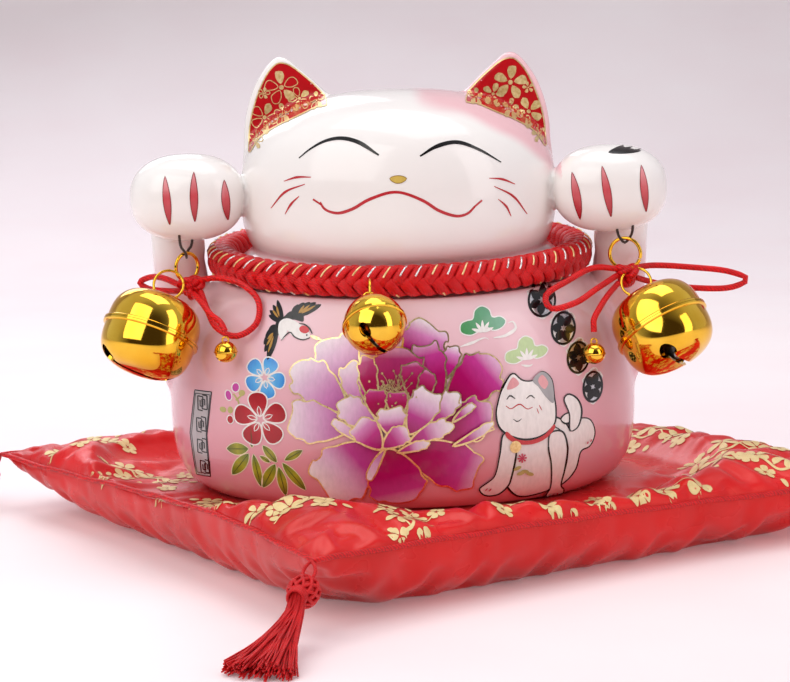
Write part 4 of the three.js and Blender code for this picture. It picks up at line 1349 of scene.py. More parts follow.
# %% Flat shapes and how they are laid on a surface
LAYER = 0.00003  # each layer of paint stands this far above the last, m
THROW = 0.4  # paint is thrown from this far away, m
TOWARDS_PAINTER = {"front": Vector((0, -1, 0)), "above": Vector((0, 0, 1))}


def laid(point, way, surface, lift):
    """A flat point on the surface, thrown at it from the front or from above."""
    a, b = point[0] * MM, point[1] * MM
    if way == "above":
        start = Vector((a, b, THROW))
    else:
        start = Vector((a, -THROW, b + FOOT * MM))
    place, normal, _, _ = surface.ray_cast(start, -TOWARDS_PAINTER[way])
    if place is None:
        return None
    if normal.dot(TOWARDS_PAINTER[way]) < 0:
        normal = -normal
    return place + normal * lift


def fill(outline, level=1, root=None, tip=None):
    """A filled outline. Its shade runs from 0 at the root to 1 at the tip."""
    return {"outline": np.array(outline), "level": level, "root": root, "tip": tip}


def line(points, width, level=1, closed=False, count=None):
    """A brush line. width is one number or several spread along it."""
    path = np.array(points, float)
    length = np.linalg.norm(np.diff(path, axis=0), axis=1).sum()
    path = smooth_path(path, count or max(int(length / 0.9), 6), closed)
    widths = np.interp(
        np.linspace(0, 1, len(path)), np.linspace(0, 1, len(np.atleast_1d(width))), np.atleast_1d(width),
    )
    slope = np.gradient(path, axis=0)
    if closed:
        slope[0] = slope[-1] = path[1] - path[-2]
    slope /= np.maximum(np.linalg.norm(slope, axis=1), 1e-9)[:, None]
    side = np.column_stack([-slope[:, 1], slope[:, 0]]) * widths[:, None] / 2
    return {"left": path + side, "right": path - side, "level": level}


def cut_to_cells(bm, outline, cell):
    """A flat filled outline, cut along a square grid so that it can follow a curved surface."""
    bm.faces.new([bm.verts.new((*p, 0)) for p in outline])
    bmesh.ops.triangulate(bm, faces=bm.faces[:])
    low, high = outline.min(0), outline.max(0)
    for axis, across in enumerate((Vector((1, 0, 0)), Vector((0, 1, 0)))):
        first = math.floor(low[axis] / cell) * cell
        for cut in np.arange(first, high[axis], cell)[1:]:
            geometry = bm.verts[:] + bm.edges[:] + bm.faces[:]
            bmesh.ops.bisect_plane(bm, geom=geometry, plane_co=across * cut, plane_no=across, dist=1e-5)


def paint(
    name, shapes, material, way="front", surface=cat_surface, body="cat", cell=1.7, lift=0.00008,
    slot="glaze",
):
    """One thin mesh of all the shapes that share a paint."""
    points, faces, shades = [], [], []
    for shape in shapes:
        high = lift + LAYER * shape["level"]
        bm = bmesh.new()
        run = None
        if "left" in shape:
            rows = [
                (bm.verts.new((*a, 0)), bm.verts.new((*b, 0)))
                for a, b in zip(shape["left"], shape["right"])
            ]
            for (a, b), (c, d) in zip(rows, rows[1:]):
                bm.faces.new((a, b, d, c))
        else:
            cut_to_cells(bm, shape["outline"], cell)
            if shape["root"] is not None:
                root = np.array(shape["root"])
                run = np.array(shape["tip"]) - root
        spots = {}
        for vert in bm.verts:
            spot = laid(vert.co, way, surface, high)
            if spot is None:
                continue
            spots[vert] = len(points)
            points.append(spot)
            share = 0.5
            if run is not None:
                share = float((np.array(vert.co[:2]) - root) @ run / (run @ run))
            shades.append(min(max(share, 0), 1))
        for face in bm.faces:
            if all(v in spots for v in face.verts):
                ring = [spots[v] for v in face.verts]
                a, b, c = (points[k] for k in ring[:3])
                normal = (b - a).cross(c - a)
                faces.append(ring if normal.dot(TOWARDS_PAINTER[way]) > 0 else ring[::-1])
        bm.free()
    mesh = mesh_of(name, points, faces)
    mesh.attributes.new("along", "FLOAT", "POINT").data.foreach_set("value", shades)
    add_object(name, mesh, material, body)
    print(name, "is laid on in", len(faces), "faces")


def petal(root, tip, width, frill=0.06, waves=5, bend=0.0, blunt=0.55, count=48):
    """A petal's outline: narrow at the root, widest near the tip, with a frilled edge."""
    root, tip = np.array(root, float), np.array(tip, float)
    along = tip - root
    length = np.linalg.norm(along)
    along /= length
    across = np.array([-along[1], along[0]])
    outline = []
    for t in np.linspace(-1, 1, count, endpoint=False):
        a = 1 - abs(t) ** 1.15
        half = width / 2 * (a**0.62) * ((1 - a**3.2) ** blunt) * 1.32
        edge = 1 + frill * math.cos(waves * math.pi * t + root[0]) * step_up(np.array(a), 0.35, 0.75)
        far = length * a * (1 + 0.5 * frill * math.cos(waves * 1.7 * math.pi * t + tip[1]) * a**2)
        side = math.copysign(half, t) * edge + bend * length * a * (1 - a)
        outline.append(root + along * far + across * side)
    return np.array(outline)


def ellipse(centre, size, turn=0.0, count=28):
    """An oval outline, turned by some degrees."""
    a = np.linspace(0, math.tau, count, endpoint=False)
    c, s = math.cos(math.radians(turn)), math.sin(math.radians(turn))
    x, y = size[0] * np.cos(a), size[1] * np.sin(a)
    return np.column_stack([centre[0] + x * c - y * s, centre[1] + x * s + y * c])


def lens(a, b, width, count=24, power=0.8):
    """A pointed leaf or claw stroke between two points."""
    a, b = np.array(a, float), np.array(b, float)
    along = b - a
    across = np.array([-along[1], along[0]]) / np.linalg.norm(along)
    t = np.linspace(0, 1, count)
    half = width / 2 * np.sin(math.pi * t) ** power
    one = a + along * t[:, None] + across * half[:, None]
    two = a + along * t[:, None] - across * half[:, None]
    return np.vstack([one, two[-2:0:-1]])


def blob(points, count=60):
    """A smooth closed outline through a few points."""
    return smooth_path(points, count, closed=True)[:-1]


# %% Face
face_black = [
    line(
        [(-42.1, 149), (-37.3, 152.7), (-30.8, 156.1), (-23.9, 157.3), (-16.7, 155.7), (-8, 150.3)],
        (0.4, 0.8, 1.2, 1.55, 1.7, 0.7),
    ),
    line(
        [(9.3, 149.5), (16.6, 153.3), (25.1, 154.6), (34.1, 151.3), (43.9, 145.3)],
        (0.7, 1.7, 1.5, 1.05, 0.4),
    ),
]
paint("painted_eyes", face_black, ink)
mouth = [
    (-33.4, 130.7), (-31.4, 127.8), (-26.3, 126.2), (-19.9, 127.9), (-12.2, 132.1), (-1.2, 134.9),
    (9.7, 131.2), (17.2, 126.3), (24.8, 123.8), (29.1, 124.8), (32.2, 127.6),
]
whiskers = [
    [(-48.9, 139.1), (-43.1, 141), (-37, 141.2)], [(-55, 127.2), (-48.5, 134.5), (-39.7, 138.2)],
    [(-48.8, 125), (-46, 129.5), (-42.4, 133)], [(38.5, 139), (44.1, 138.2), (49.8, 135.6)],
    [(40.5, 135.5), (48.9, 130.5), (55.1, 122.1)], [(42.2, 129.9), (45.7, 126.5), (47.8, 122)],
]
face_red = [line(mouth, (0.9, 1.3, 1.3, 1.15, 1.3, 1.3, 0.9))]
face_red += [line([(-36.4, 131.9), (-32.6, 129.5)], 0.8), line([(31.7, 127.2), (35.2, 129.9)], 0.8)]
face_red += [line(w, (0.3, 1.0, 0.35)) for w in whiskers]
paint("painted_mouth_and_whiskers", face_red, mouth_red)
nose = blob(
    [
        (-3.7, 140.6), (-2.0, 141.5), (0.2, 141.7), (2.2, 141.3), (3.5, 140.4), (2.0, 139.1),
        (-0.3, 138.5), (-2.4, 139.2),
    ]
)
paint("painted_nose", [fill(nose)], enamel("nose_gold_enamel", plain("#D9B95C")))
paint("nose_line", [line(nose, 0.3, 3, closed=True)], enamel("brown_enamel_line", plain("#A07A3A")))

# %% Claws, and the patch on the right paw
claw_paint = enamel("graded_claw_enamel", graded([(0.0, "#E79AA0"), (0.45, "#D4535B"), (1.0, "#B0242D")]))
claws = [
    ((-100.3, 141.8), (-98.9, 120.7)), ((-87.9, 143.2), (-88, 121.8)), ((-75.2, 139.3), (-74.2, 121.7)),
    ((75.1, 139.3), (78.4, 118.7)), ((87.7, 141.9), (91.4, 119.8)), ((104.7, 141.8), (106.7, 121.4)),
]
paint("painted_claws", [fill(lens(a, b, 3.3), 1, a, b) for a, b in claws], claw_paint, cell=1.2)
claw_edges = [line(lens(a, b, 3.3, 16), 0.3, 3, closed=True) for a, b in claws]
paint("claw_outlines", claw_edges, enamel("dark_red_enamel_line", plain("#8E1B22")))
paint(
    "right_paw_patch", [fill(blob([(91, 147.3), (96, 149.4), (104, 149.2), (106, 147.6), (98, 146.6)]))],
    ink, cell=1.0,
)

# %% Ears
def ear_face(side):
    """The flat of an ear inside its white rim."""
    outline = [
        (52.0, 187.6), (56.2, 184.0), (60.6, 176), (64.3, 165), (65.6, 156), (65.2, 149.5), (60, 156.2),
        (52, 161.5), (43, 165.6), (35, 169.2), (30.0, 170.4), (34.2, 175.6), (40.5, 181.6), (47.8, 187.0),
    ]
    return blob(outline, 90) * (side, 1)


ear_fill = [fill(ear_face(side)) for side in (-1, 1)]
paint("ear_insides", ear_fill, ear_red, cell=1.2)
blossoms = [
    ((50.8, 177.0), 7.6, 10), ((58.6, 164.0), 6.4, 40), ((43.0, 172.0), 5.0, 70), ((50.2, 166.0), 4.2, 0),
    ((62.0, 155.0), 3.6, 20), ((35.0, 171.6), 3.4, 5), ((58.6, 174.6), 2.6, 30),
]
ear_shapes = []
for side in (-1, 1):
    for (bx, bz), size, turn in blossoms:
        for k in range(5):
            a = math.radians(turn + 72 * k)
            way = np.array([math.cos(a), math.sin(a)])
            middle = np.array([bx, bz])
            if k % 2 or side > 0:
                shape = petal(
                    middle + way * size * 0.2, middle + way * size, size * 0.62, 0.1, 3, count=18,
                )
                ear_shapes.append(fill(shape * (side, 1), 3))
            else:
                shape = petal(
                    middle + way * size * 0.2, middle + way * size, size * 0.66, 0.1, 3, count=18,
                )
                ear_shapes.append(line(shape * (side, 1), 0.38, 3, closed=True, count=24))
        ear_shapes.append(fill(ellipse((side * bx, bz), (size * 0.14, size * 0.14), count=10), 4))
paint("ear_blossoms", ear_shapes, ear_gold, cell=1.5)
paint("ear_rims", [line(ear_face(side), 0.5, 5, closed=True) for side in (-1, 1)], ear_gold)

# %% Peony
# Root, tip, width, frill, bend, paint and shade for each petal, from the back of the flower to the front.
PETALS = [
    ((4, 60), (12, 80), 18, 0.07, 0.0, "bright"),
    ((-20, 55), (-31.5, 74), 18, 0.07, 0.0, "pale"),
    ((17, 57), (22, 70.5), 7, 0.06, 0.0, "bright"),
    ((-24, 45), (-45, 62.5), 17, 0.06, -0.05, "pale"),
    ((-22, 38), (-48.5, 41.5), 17, 0.05, 0.06, "pale"),
    ((18, 46), (38.8, 63), 19, 0.06, 0.05, "deep"),
    ((8, 32), (37, 42.5), 17, 0.06, 0.08, "deep"),
    ((14, 45), (8.5, 72.5), 14, 0.07, -0.05, "deep"),
    ((-2, 30), (31, 15.5), 19, 0.05, 0.04, "deep"),
    ((-9, 31), (-35.5, 10), 24, 0.06, -0.06, "white_tip"),
    ((-7, 29), (-2, 5.5), 23, 0.05, 0.0, "deep"),
    ((-8, 29), (-15.5, 15), 3.6, 0.02, -0.15, "pale"),
    ((-3.5, 42), (-3, 69.5), 25, 0.06, 0.0, "core"),
    ((4, 49), (3.5, 64.5), 10, 0.05, -0.2, "core"),
    ((6, 47), (11, 61), 7, 0.05, -0.15, "core"),
    ((-17, 45), (-22.5, 64.5), 10, 0.07, 0.05, "pale"),
    ((-13, 46), (-15.5, 61.5), 7, 0.06, 0.1, "bright"),
    ((-11, 47), (-15, 67.5), 7.5, 0.06, 0.2, "core"),
    ((-11, 38), (-26, 49), 11, 0.07, 0.1, "pale"),
    ((-11, 42), (-11.5, 54), 9, 0.05, 0.0, "core"),
    ((-3, 42), (-2.5, 53), 9, 0.05, 0.0, "core"),
    ((10, 38), (22, 51), 9, 0.08, 0.12, "white_tip"),
    ((2, 35), (11.5, 53.5), 12.5, 0.07, -0.05, "white_tip"),
    ((-4.5, 34), (-5.5, 46.5), 11.5, 0.08, 0.0, "white_tip"),
    ((-13, 30.5), (-30, 41), 4.0, 0.03, 0.06, "pale"),
    ((2, 31.5), (19.5, 38.5), 7, 0.07, 0.12, "white_tip"),
    ((-9.5, 29), (-20, 40), 11, 0.05, -0.18, "bright"),
    ((-9, 29.5), (1.5, 36.5), 8, 0.05, 0.15, "bright"),
    ((-3, 27.5), (10, 31), 3.8, 0.06, 0.1, "white_tip"),
    ((20, 39.5), (29.5, 46.5), 3.2, 0.05, 0.1, "white_tip"),
    ((20, 29.5), (36.5, 38), 3.6, 0.05, -0.15, "white_tip"),
]
PETAL_SHADES = {
    "pale": [(0.05, "#B8579F"), (0.35, "#CF86BE"), (0.7, "#E4BEDC"), (1.0, "#F3E6EF")],
    "bright": [(0.05, "#A00C66"), (0.45, "#BE1F86"), (0.75, "#DA86C4"), (1.0, "#F3E7F0")],
    "deep": [(0.05, "#9E0644"), (0.5, "#B00A66"), (0.8, "#C73F98"), (1.0, "#E6B4D8")],
    "core": [(0.0, "#92063A"), (0.55, "#A80C52"), (0.88, "#BE3A80"), (1.0, "#DE9CC3")],
    "white_tip": [(0.05, "#A00C62"), (0.38, "#BE3A94"), (0.64, "#E2B8DA"), (1.0, "#F8F2F5")],
}
petal_outlines = [
    petal(root, tip, width * 1.16, frill * 1.7, 7, bend, 0.42, 72)
    for root, tip, width, frill, bend, _ in PETALS
]
for kind, stops in PETAL_SHADES.items():
    shapes = [
        fill(outline, 2 * k + 1, row[0], row[1])
        for k, (outline, row) in enumerate(zip(petal_outlines, PETALS))
        if row[5] == kind
    ]
    paint(f"peony_{kind}_petals", shapes, enamel(f"peony_{kind}_enamel", graded(stops)))
golden = [
    line(outline, (0.95, 0.65, 0.5, 0.7, 0.95), 2 * k + 2, closed=True)
    for k, outline in enumerate(petal_outlines)
]
rng = random.Random(5)
for _ in range(26):
    a = math.radians(rng.uniform(25, 155))
    foot = np.array([-3.5 + rng.uniform(-4, 4), 52.5 + rng.uniform(-1.5, 1.5)])
    reach = rng.uniform(4, 8.5)
    end = foot + reach * np.array([math.cos(a), math.sin(a)])
    golden.append(
        line([foot, (foot + end) / 2 + rng.uniform(-0.5, 0.5), end], (0.25, 0.3, 0.2), 34, count=6)
    )
    golden.append(fill(ellipse(end, (0.5, 0.5), count=8), 35))
for _ in range(12):
    golden.append(fill(ellipse((rng.uniform(-12, 6), rng.uniform(46, 53)), (0.38, 0.38), count=8), 47))
paint("peony_gold", golden, gold_line)

# %% Small flowers and buds
def five_petals(centre, reach, turn, width=0.95, inner=0.28):
    flower = []
    for k in range(5):
        a = math.radians(turn + 72 * k)
        way = np.array([math.cos(a), math.sin(a)])
        flower.append((np.array(centre) + way * reach * inner, np.array(centre) + way * reach))
    return [(a, b, petal(a, b, reach * width * 0.78, 0.0, 3, count=30, blunt=0.5)) for a, b in flower]


white_line = enamel("white_enamel_line", plain("#F6F1EE"))
blue_paint = enamel(
    "blue_blossom_enamel", graded([(0.0, "#A9D7F3"), (0.45, "#5FB2EE"), (1.0, "#3C8FE0")]),
)
red_paint = enamel("red_blossom_enamel", graded([(0.0, "#D8747A"), (0.35, "#B8202B"), (1.0, "#A3151F")]))
blue_flower = five_petals((-58.6, 57.5), 9.0, 64, 1.12, 0.14)
red_flower = five_petals((-60.8, 39.5), 11.8, 97, 1.06, 0.12)
paint("blue_blossom", [fill(o, 1, a, b) for a, b, o in blue_flower], blue_paint)
paint("red_blossom", [fill(o, 3, a, b) for a, b, o in red_flower], red_paint)
edges = [line(o, 0.55, 2, closed=True) for _, _, o in blue_flower]
edges += [line(o, 0.6, 5, closed=True) for _, _, o in red_flower]
for (a, b, _) in [*blue_flower, *red_flower]:
    edges.append(line(lens(a + (b - a) * 0.02, a + (b - a) * 0.42, 1.7, 12), 0.4, 6, closed=True))
buds = [((-71.5, 52.3), (1.7, 2.1), -20), ((-74.8, 48.6), (1.5, 2.3), 10)]
edges += [line(ellipse(c, s, t), 0.45, 3, closed=True) for c, s, t in buds]
edges.append(line(ellipse((-74.3, 38.3), (1.5, 1.9)), 0.4, 3, closed=True))
paint("blossom_outlines", edges, white_line)
paint(
    "magenta_buds", [fill(ellipse(c, s, t)) for c, s, t in buds],
    enamel("magenta_bud_enamel", plain("#C74AA6")),
)
paint("red_bud", [fill(ellipse((-74.3, 38.3), (1.5, 1.9)))], red_paint)
olive = enamel("olive_enamel", plain("#BDB673"))
twigs = [line([(-72.6, 49.5), (-70.5, 46.5), (-70, 43)], 0.8), line([(-71.6, 46.8), (-68.5, 49.7)], 0.7)]
twig_leaves = (((-68.8, 50.2), 30), ((-77.5, 42.2), 0), ((-74.2, 42.4), 80), ((-70, 42.6), 60))
twigs += [fill(ellipse(c, (1.5, 1.2), t)) for c, t in twig_leaves]
paint("blossom_twigs", twigs, olive)

# %% Bamboo
leaf_paint = enamel("bamboo_leaf_enamel", graded([(0.0, "#5E7A22"), (0.5, "#A7A52B"), (1.0, "#4E5E18")]))
bamboo_leaves = [
    ((-66.5, 26.4), (-76.5, 25.2), 4.2), ((-66.5, 24.4), (-74.5, 13.6), 4.0),
    ((-64.5, 24.4), (-61.7, 9.5), 3.0),
    ((-65.2, 37.2), (-65.0, 27.0), 2.6), ((-60.3, 28.6), (-54.2, 21.4), 3.0),
    ((-55.0, 20.8), (-61.0, 9.2), 3.8),
    ((-53.6, 19.6), (-51.0, 6.2), 3.3), ((-52.0, 21.6), (-42.2, 9.6), 3.4), (
        (-51.0, 22.6), (-43.0, 27.6), 2.6,
    ),
    ((-61.8, 23.8), (-57.0, 21.2), 1.8),
]
bamboo_leaves = [(a, b, w * 1.3) for a, b, w in bamboo_leaves]
paint("bamboo_leaves", [fill(lens(a, b, w, 20, 0.7), 1, a, b) for a, b, w in bamboo_leaves], leaf_paint)
veins = [line(lens(a, b, w, 14, 0.7), 0.35, 2, closed=True) for a, b, w in bamboo_leaves]
paint("bamboo_outlines", veins, enamel("cream_enamel_line", plain("#F2E6C2")))
paint(
    "bamboo_veins", [line([a, b], (0.1, 0.35, 0.1), 3) for a, b, _ in bamboo_leaves],
    enamel("dark_green_enamel_line", plain("#3E4D16")),
)

# %% Crane
def feather_fan(root, tips, width):
    return [lens(root, tip, width, 16, 0.6) for tip in tips]


wing_black = [fill(shape, 1) for shape in (
    *feather_fan(
        (-46.5, 82.5), [(-33.8, 87.8), (-36, 88.6), (-38.5, 88.6), (-41, 88.4), (-43.5, 87.6)], 2.9,
    ),
    *feather_fan((-50.5, 80.5), [(-52.8, 89), (-54.8, 87), (-56.2, 84.8), (-56.6, 82.8)], 2.4),
    *feather_fan(
        (-52.5, 79.0), [(-57.3, 64.8), (-58.5, 68), (-58.8, 71), (-58.0, 73.6), (-56.6, 76)], 3.2,
    ),
)]
wing_black.append(
    fill(
        blob(
            [
                (-50, 82.6), (-47, 84.8), (-42, 84.3), (-41.6, 81), (-46, 81.6), (-50.8, 79.5),
                (-51.8, 75), (-53.6, 76.5), (-53.2, 80.5),
            ]
        )
    )
)
paint("crane_wings", wing_black, ink)
wing_gold = []
for root, tips in (
    ((-44.5, 83), [(-36.2, 87.4), (-38.6, 87.6), (-41, 87.4)]),
    ((-51.5, 81), [(-53.2, 86.8), (-54.9, 85)]),
    ((-53.6, 77), [(-56.9, 67.8), (-57.6, 70.6), (-57.2, 73.2)]),
):
    wing_gold += [
        fill(lens(np.array(root) * 0.75 + np.array(tip) * 0.25, tip, 0.95, 12), 3)
        for tip in tips
    ]
paint("crane_feathers", wing_gold, enamel("ochre_enamel", plain("#B98B3E")))
crane_body = blob(
    [
        (-51.6, 80.6), (-48.6, 82), (-45.4, 81.2), (-42.6, 79.6), (-39.8, 77.4), (-38.6, 75.4),
        (-40.2, 74.2), (-43.8, 74.2), (-46.4, 75.2), (-48.4, 77.2), (-49, 75.4), (-50.8, 73.2),
        (-52, 74.8), (-52.4, 78),
    ]
)
paint("crane_body", [fill(crane_body, 4)], enamel("crane_white_enamel", plain("#F1EDEA")))
crane_lines = [
    line(
        [(-51.2, 73), (-48.8, 75.6), (-47.2, 76.6), (-45.4, 74.8), (-42, 73.7), (-38.8, 74.6)],
        (0.2, 0.5, 0.6, 0.5, 0.3), 6,
    ),
    line([(-43.4, 80.2), (-41, 79.8), (-38.9, 78.3), (-37.8, 76.2)], (0.3, 0.7, 0.5), 6),
    fill(ellipse((-40.1, 75.6), (0.35, 0.35), count=10), 7),
]
paint("crane_lines", crane_lines, ink)
paint(
    "crane_crown", [fill(ellipse((-41.2, 77.8), (2.1, 1.5), -10), 6)],
    enamel("crown_red_enamel", plain("#D2323C")),
)
paint("crane_beak", [fill(lens((-38.8, 75.4), (-33.6, 73.8), 1.3, 12), 6)], gold_line)

# %% Fret ornament in a frame, left side
ornament = []
for scale in (1.0, 0.86):
    middle = np.array([-88.0, 29.2])
    outer = middle + (
        np.array(
            [(-90.6, 48.4), (-82.6, 49.0), (-85.4, 29.6), (-84.8, 10.6), (-91.8, 9.4), (-93.6, 29.0)]
        ) - middle
    ) * (scale, 0.5 + 0.5 * scale)
    for a, b in zip(outer, np.roll(outer, -1, axis=0)):
        ornament.append(line([a, (a + b) / 2, b], 0.45 if scale == 1.0 else 0.3, 2))
for row in range(4):
    mid = 43.6 - 9.6 * row
    cx = -87.0 - (0.9 if row in (1, 2) else 0)
    for side in (-1, 1):
        key = [(0, 3.4), (2.2, 3.4), (2.2, -2.6), (-0.2, -2.6), (-0.2, 1.6), (1.1, 1.6), (1.1, -1.0)]
        corners = [(cx + side * px, mid + side * pz) for px, pz in key]
        ornament += [line([a, b], 0.55, 2, count=6) for a, b in zip(corners, corners[1:])]
paint("left_fret_ornament", ornament, ink, cell=1.2)
plaque = [(-90.6, 48.4), (-82.6, 49.0), (-85.4, 29.6), (-84.8, 10.6), (-91.8, 9.4), (-93.6, 29.0)]
paint("left_plaque_ground", [fill(plaque, 0)], enamel("silver_grey_enamel", plain("#B9B3B6")), cell=1.2)

# %% Medallions in a column, right side
silver_leaf = gold_paint("silver_leaf", 0.3)
silver_leaf.node_tree.nodes["Color Ramp"].color_ramp.elements[0].color = colour("#9A9A9C")
silver_leaf.node_tree.nodes["Color Ramp"].color_ramp.elements[1].color = colour("#E3E3E6")
medallions = [((60.3, 86.0), 20), ((69.2, 73.8), -10), ((75.4, 61.0), 35), ((81.8, 47.6), 5)]
black_parts, silver_parts, pale_edges = [], [], []
for (mx, mz), turn in medallions:
    squeeze = 1 - 0.012 * (mx - 60)
    rim = np.array([mx, mz]) + (petal((0, -7.2), (0, 7.2), 13.5, 0.12, 7) + (0, 0)) * (squeeze, 1)
    pale_edges.append(line(rim, 0.9, 1, closed=True))
    silver_parts.append(fill(rim, 1))
    for k in range(6):
        a = math.radians(turn + 60 * k)
        way = np.array([math.cos(a) * squeeze, math.sin(a)])
        leaf = lens(np.array([mx, mz]) + way * 0.8, np.array([mx, mz]) + way * 6.0, 3.5, 14)
        black_parts.append(fill(leaf, 3))
    black_parts.append(line(ellipse((mx, mz), (5.9 * squeeze, 6.3)), 1.0, 3, closed=True))
paint("medallion_edges", pale_edges, white_line)
paint("medallion_silver", silver_parts, silver_leaf)
paint("medallion_leaves", black_parts, ink)

# %% Pine clouds
def pine_cloud(centre, size):
    cx, cz = centre
    hump = [
        (-1.0, -0.28), (-0.98, 0.08), (-0.66, 0.22), (-0.46, 0.25), (-0.36, 0.62), (-0.05, 0.8),
        (0.3, 0.62), (0.42, 0.3), (0.78, 0.3), (1.02, 0.08), (0.86, -0.18), (0.45, -0.3), (0.1, -0.12),
        (-0.2, -0.3), (-0.6, -0.45),
    ]
    return blob([(cx + size * a, cz + size * 0.95 * b) for a, b in hump], 70)


pine_paint = enamel("pine_green_enamel", graded([(0.0, "#4F9A5E"), (1.0, "#7DB49A")]))
light_pine = enamel("light_pine_enamel", plain("#BFD69E"))
green_cloud, light_cloud = pine_cloud((34.3, 78.6), 9.6), pine_cloud((52.6, 65.6), 9.2)
paint("pine_green", [fill(green_cloud, 1, (26, 74), (44, 82))], pine_paint)
paint("pine_light", [fill(light_cloud, 1)], light_pine)
pine_lines = [line(green_cloud, 0.5, 2, closed=True), line(light_cloud, 0.5, 2, closed=True)]
for cx, cz in ((34.0, 75.4), (52.6, 62.8)):
    for a in (20, 55, 90, 125, 160):
        way = np.array([math.cos(math.radians(a)), math.sin(math.radians(a))])
        pine_lines.append(fill(lens(np.array([cx, cz]), np.array([cx, cz]) + way * 5.0, 1.3, 12), 3))
pine_lines += [line([(24.2, 70.2), (29, 71.4), (35, 73.2), (36.5, 72.4)], (0.3, 1.3, 0.8, 0.2), 3)]
pine_lines += [
    line([(38.5, 72.9), (44, 73.6), (48.2, 76.2), (47, 78.8), (45.0, 78.4)], (0.4, 1.0, 1.5, 0.9, 0.3), 3)
]
pine_lines += [line([(50, 61.0), (53.5, 60.2), (55, 60.8)], (0.3, 1.2, 0.3), 3)]
paint("pine_outlines", pine_lines, white_line)

# %% A small cat at play
ON_CAT = 27  # the layer for what is painted over the small cat
cat_white = enamel("painted_cat_white", graded([(0.0, "#EBDDE0"), (1.0, "#F8F4F2")]))
grey = enamel("painted_cat_grey", plain("#A5A3A6"))
blush = enamel("painted_cat_pink", plain("#E9A3A8"))
head_shape = [
    (41.5, 52), (46, 57.8), (50.2, 54.6), (55, 54.2), (58.5, 57.4), (62.5, 54.2), (63.8, 46),
    (64.4, 40.5), (63.5, 34.5), (58, 30.4), (51, 29.6), (44.4, 31.8), (40, 35.6), (38.6, 41),
    (39.5, 46.5),
]
back_shape = [
    (62.5, 37.5), (68, 35.5), (71.5, 31), (75, 35), (80, 34), (82.5, 27.5), (80, 22), (76.2, 20.8),
    (73.5, 12.5), (68, 6.8), (60, 4.8), (58, 20),
]
chest_shape = [
    (42.5, 33.5), (62.5, 34.0), (68.5, 28.5), (69.0, 16), (64, 6.5), (54, 3.4), (48, 4.0), (43, 9.5),
    (40.5, 20),
]
left_leg = [
    (42, 33), (40, 24), (37.5, 14.5), (34.2, 11.8), (31.2, 9.4), (33.2, 6.4), (38.8, 6.0), (43.5, 9.8),
    (45, 14), (47, 24), (47, 31),
]
right_leg = [
    (61, 25), (62.2, 17), (62, 6.2), (60.4, 2.0), (62.6, -0.6), (67.2, 0.0), (68.4, 3.6), (66.8, 6.4),
    (68.2, 14), (69.4, 24), (67, 31), (62, 31),
]
tail_shape = [
    (71, 30.5), (70.6, 38), (68.4, 44.8), (70.2, 46.4), (74.2, 44), (76.2, 39), (75.2, 33.2), (73.6, 31),
]
hip_shape = [(66.8, 36.2), (69, 38.2), (72, 38), (72.5, 35), (69, 34)]
shapes, outlines = [], []
for level, points in enumerate(
    (back_shape, hip_shape, tail_shape, chest_shape, left_leg, right_leg, head_shape)
):
    shape = blob(points, 90)
    shapes.append(fill(shape, 4 * level + 1, (50, 0), (50, 36)))
    outlines.append(line(shape, (0.75, 0.5, 0.7, 0.9, 0.5), 4 * level + 2, closed=True))
paint("small_cat_body", shapes, cat_white)
paint("small_cat_outline", outlines, ink)
paint(
    "small_cat_patch",
    [
        fill(
            blob(
                [
                    (54.5, 54.1), (58.5, 57.3), (62.4, 54.1), (63.6, 46.5), (63.2, 43.6), (60, 46.6),
                    (57, 51),
                ]
            ),
            27,
        )
    ],
    grey,
)
paint(
    "small_cat_ear_pink",
    [
        fill(blob([(43.4, 51.5), (46, 56.2), (48.6, 53.4), (46, 51.6)]), ON_CAT),
        fill(blob([(56.8, 53.8), (58.6, 56), (61.2, 52.2), (59.5, 50)]), 28),
    ],
    blush,
)
small_lines = [
    line([(43.2, 47.2), (44.6, 48.8), (46.8, 47.2)], (0.3, 0.7, 0.3), ON_CAT),
    line([(51.6, 46.8), (53.4, 48), (55.2, 46.6)], (0.3, 0.6, 0.3), ON_CAT),
    line([(45.8, 38.8), (47.6, 37.6), (49.4, 38.6)], (0.2, 0.5, 0.2), ON_CAT),
]
paint("small_cat_face", small_lines, ink)
smile = [
    line([(42.8, 44.6), (44.8, 43.2), (48.6, 44.8), (52, 42.4), (54.2, 43)], (0.3, 0.55, 0.3), ON_CAT),
    line([(57, 43.6), (58.2, 41.2)], (0.2, 0.4, 0.2), ON_CAT),
    line([(56, 42.4), (56.8, 40)], (0.2, 0.4, 0.2), ON_CAT),
]
ruff = blob(
    [
        (42.8, 33.8), (47, 30.2), (53, 29.0), (59, 30.6), (63.6, 34.6), (64, 33.4), (59.4, 28.8),
        (53, 27.2), (46.6, 28.4), (42.4, 32),
    ],
    60,
)
paint("small_cat_smile", smile, mouth_red)
paint("small_cat_collar", [fill(ruff, ON_CAT)], enamel("collar_red_enamel", plain("#D03A3F")))
paint("small_cat_bell", [fill(ellipse((46.6, 26.8), (2.4, 2.6)), 29)], ear_gold)
toes = [
    line(p, (0.3, 0.7, 0.3), ON_CAT)
    for p in (
        [(33.6, 8.6), (34.6, 9.6)], [(35.2, 8.2), (36.2, 9.4)], [(63.6, 1.4), (64.0, 2.6)],
        [(65.4, 1.4), (65.6, 2.6)], [(79.8, 24.0), (80.2, 25.2)], [(78.4, 23.4), (78.6, 24.6)],
    )
]
heart, ray = np.array([49.4, 21.6]), 2.0
blossom_rays = [
    line([heart, heart + ray * np.array([math.cos(a), math.sin(a)])], (0.3, 0.8), ON_CAT, count=6)
    for a in np.linspace(0, math.tau, 8, endpoint=False)
]
paint("small_cat_toes_and_blossom", [*toes, *blossom_rays], enamel("rose_enamel", plain("#CF4A6A")))
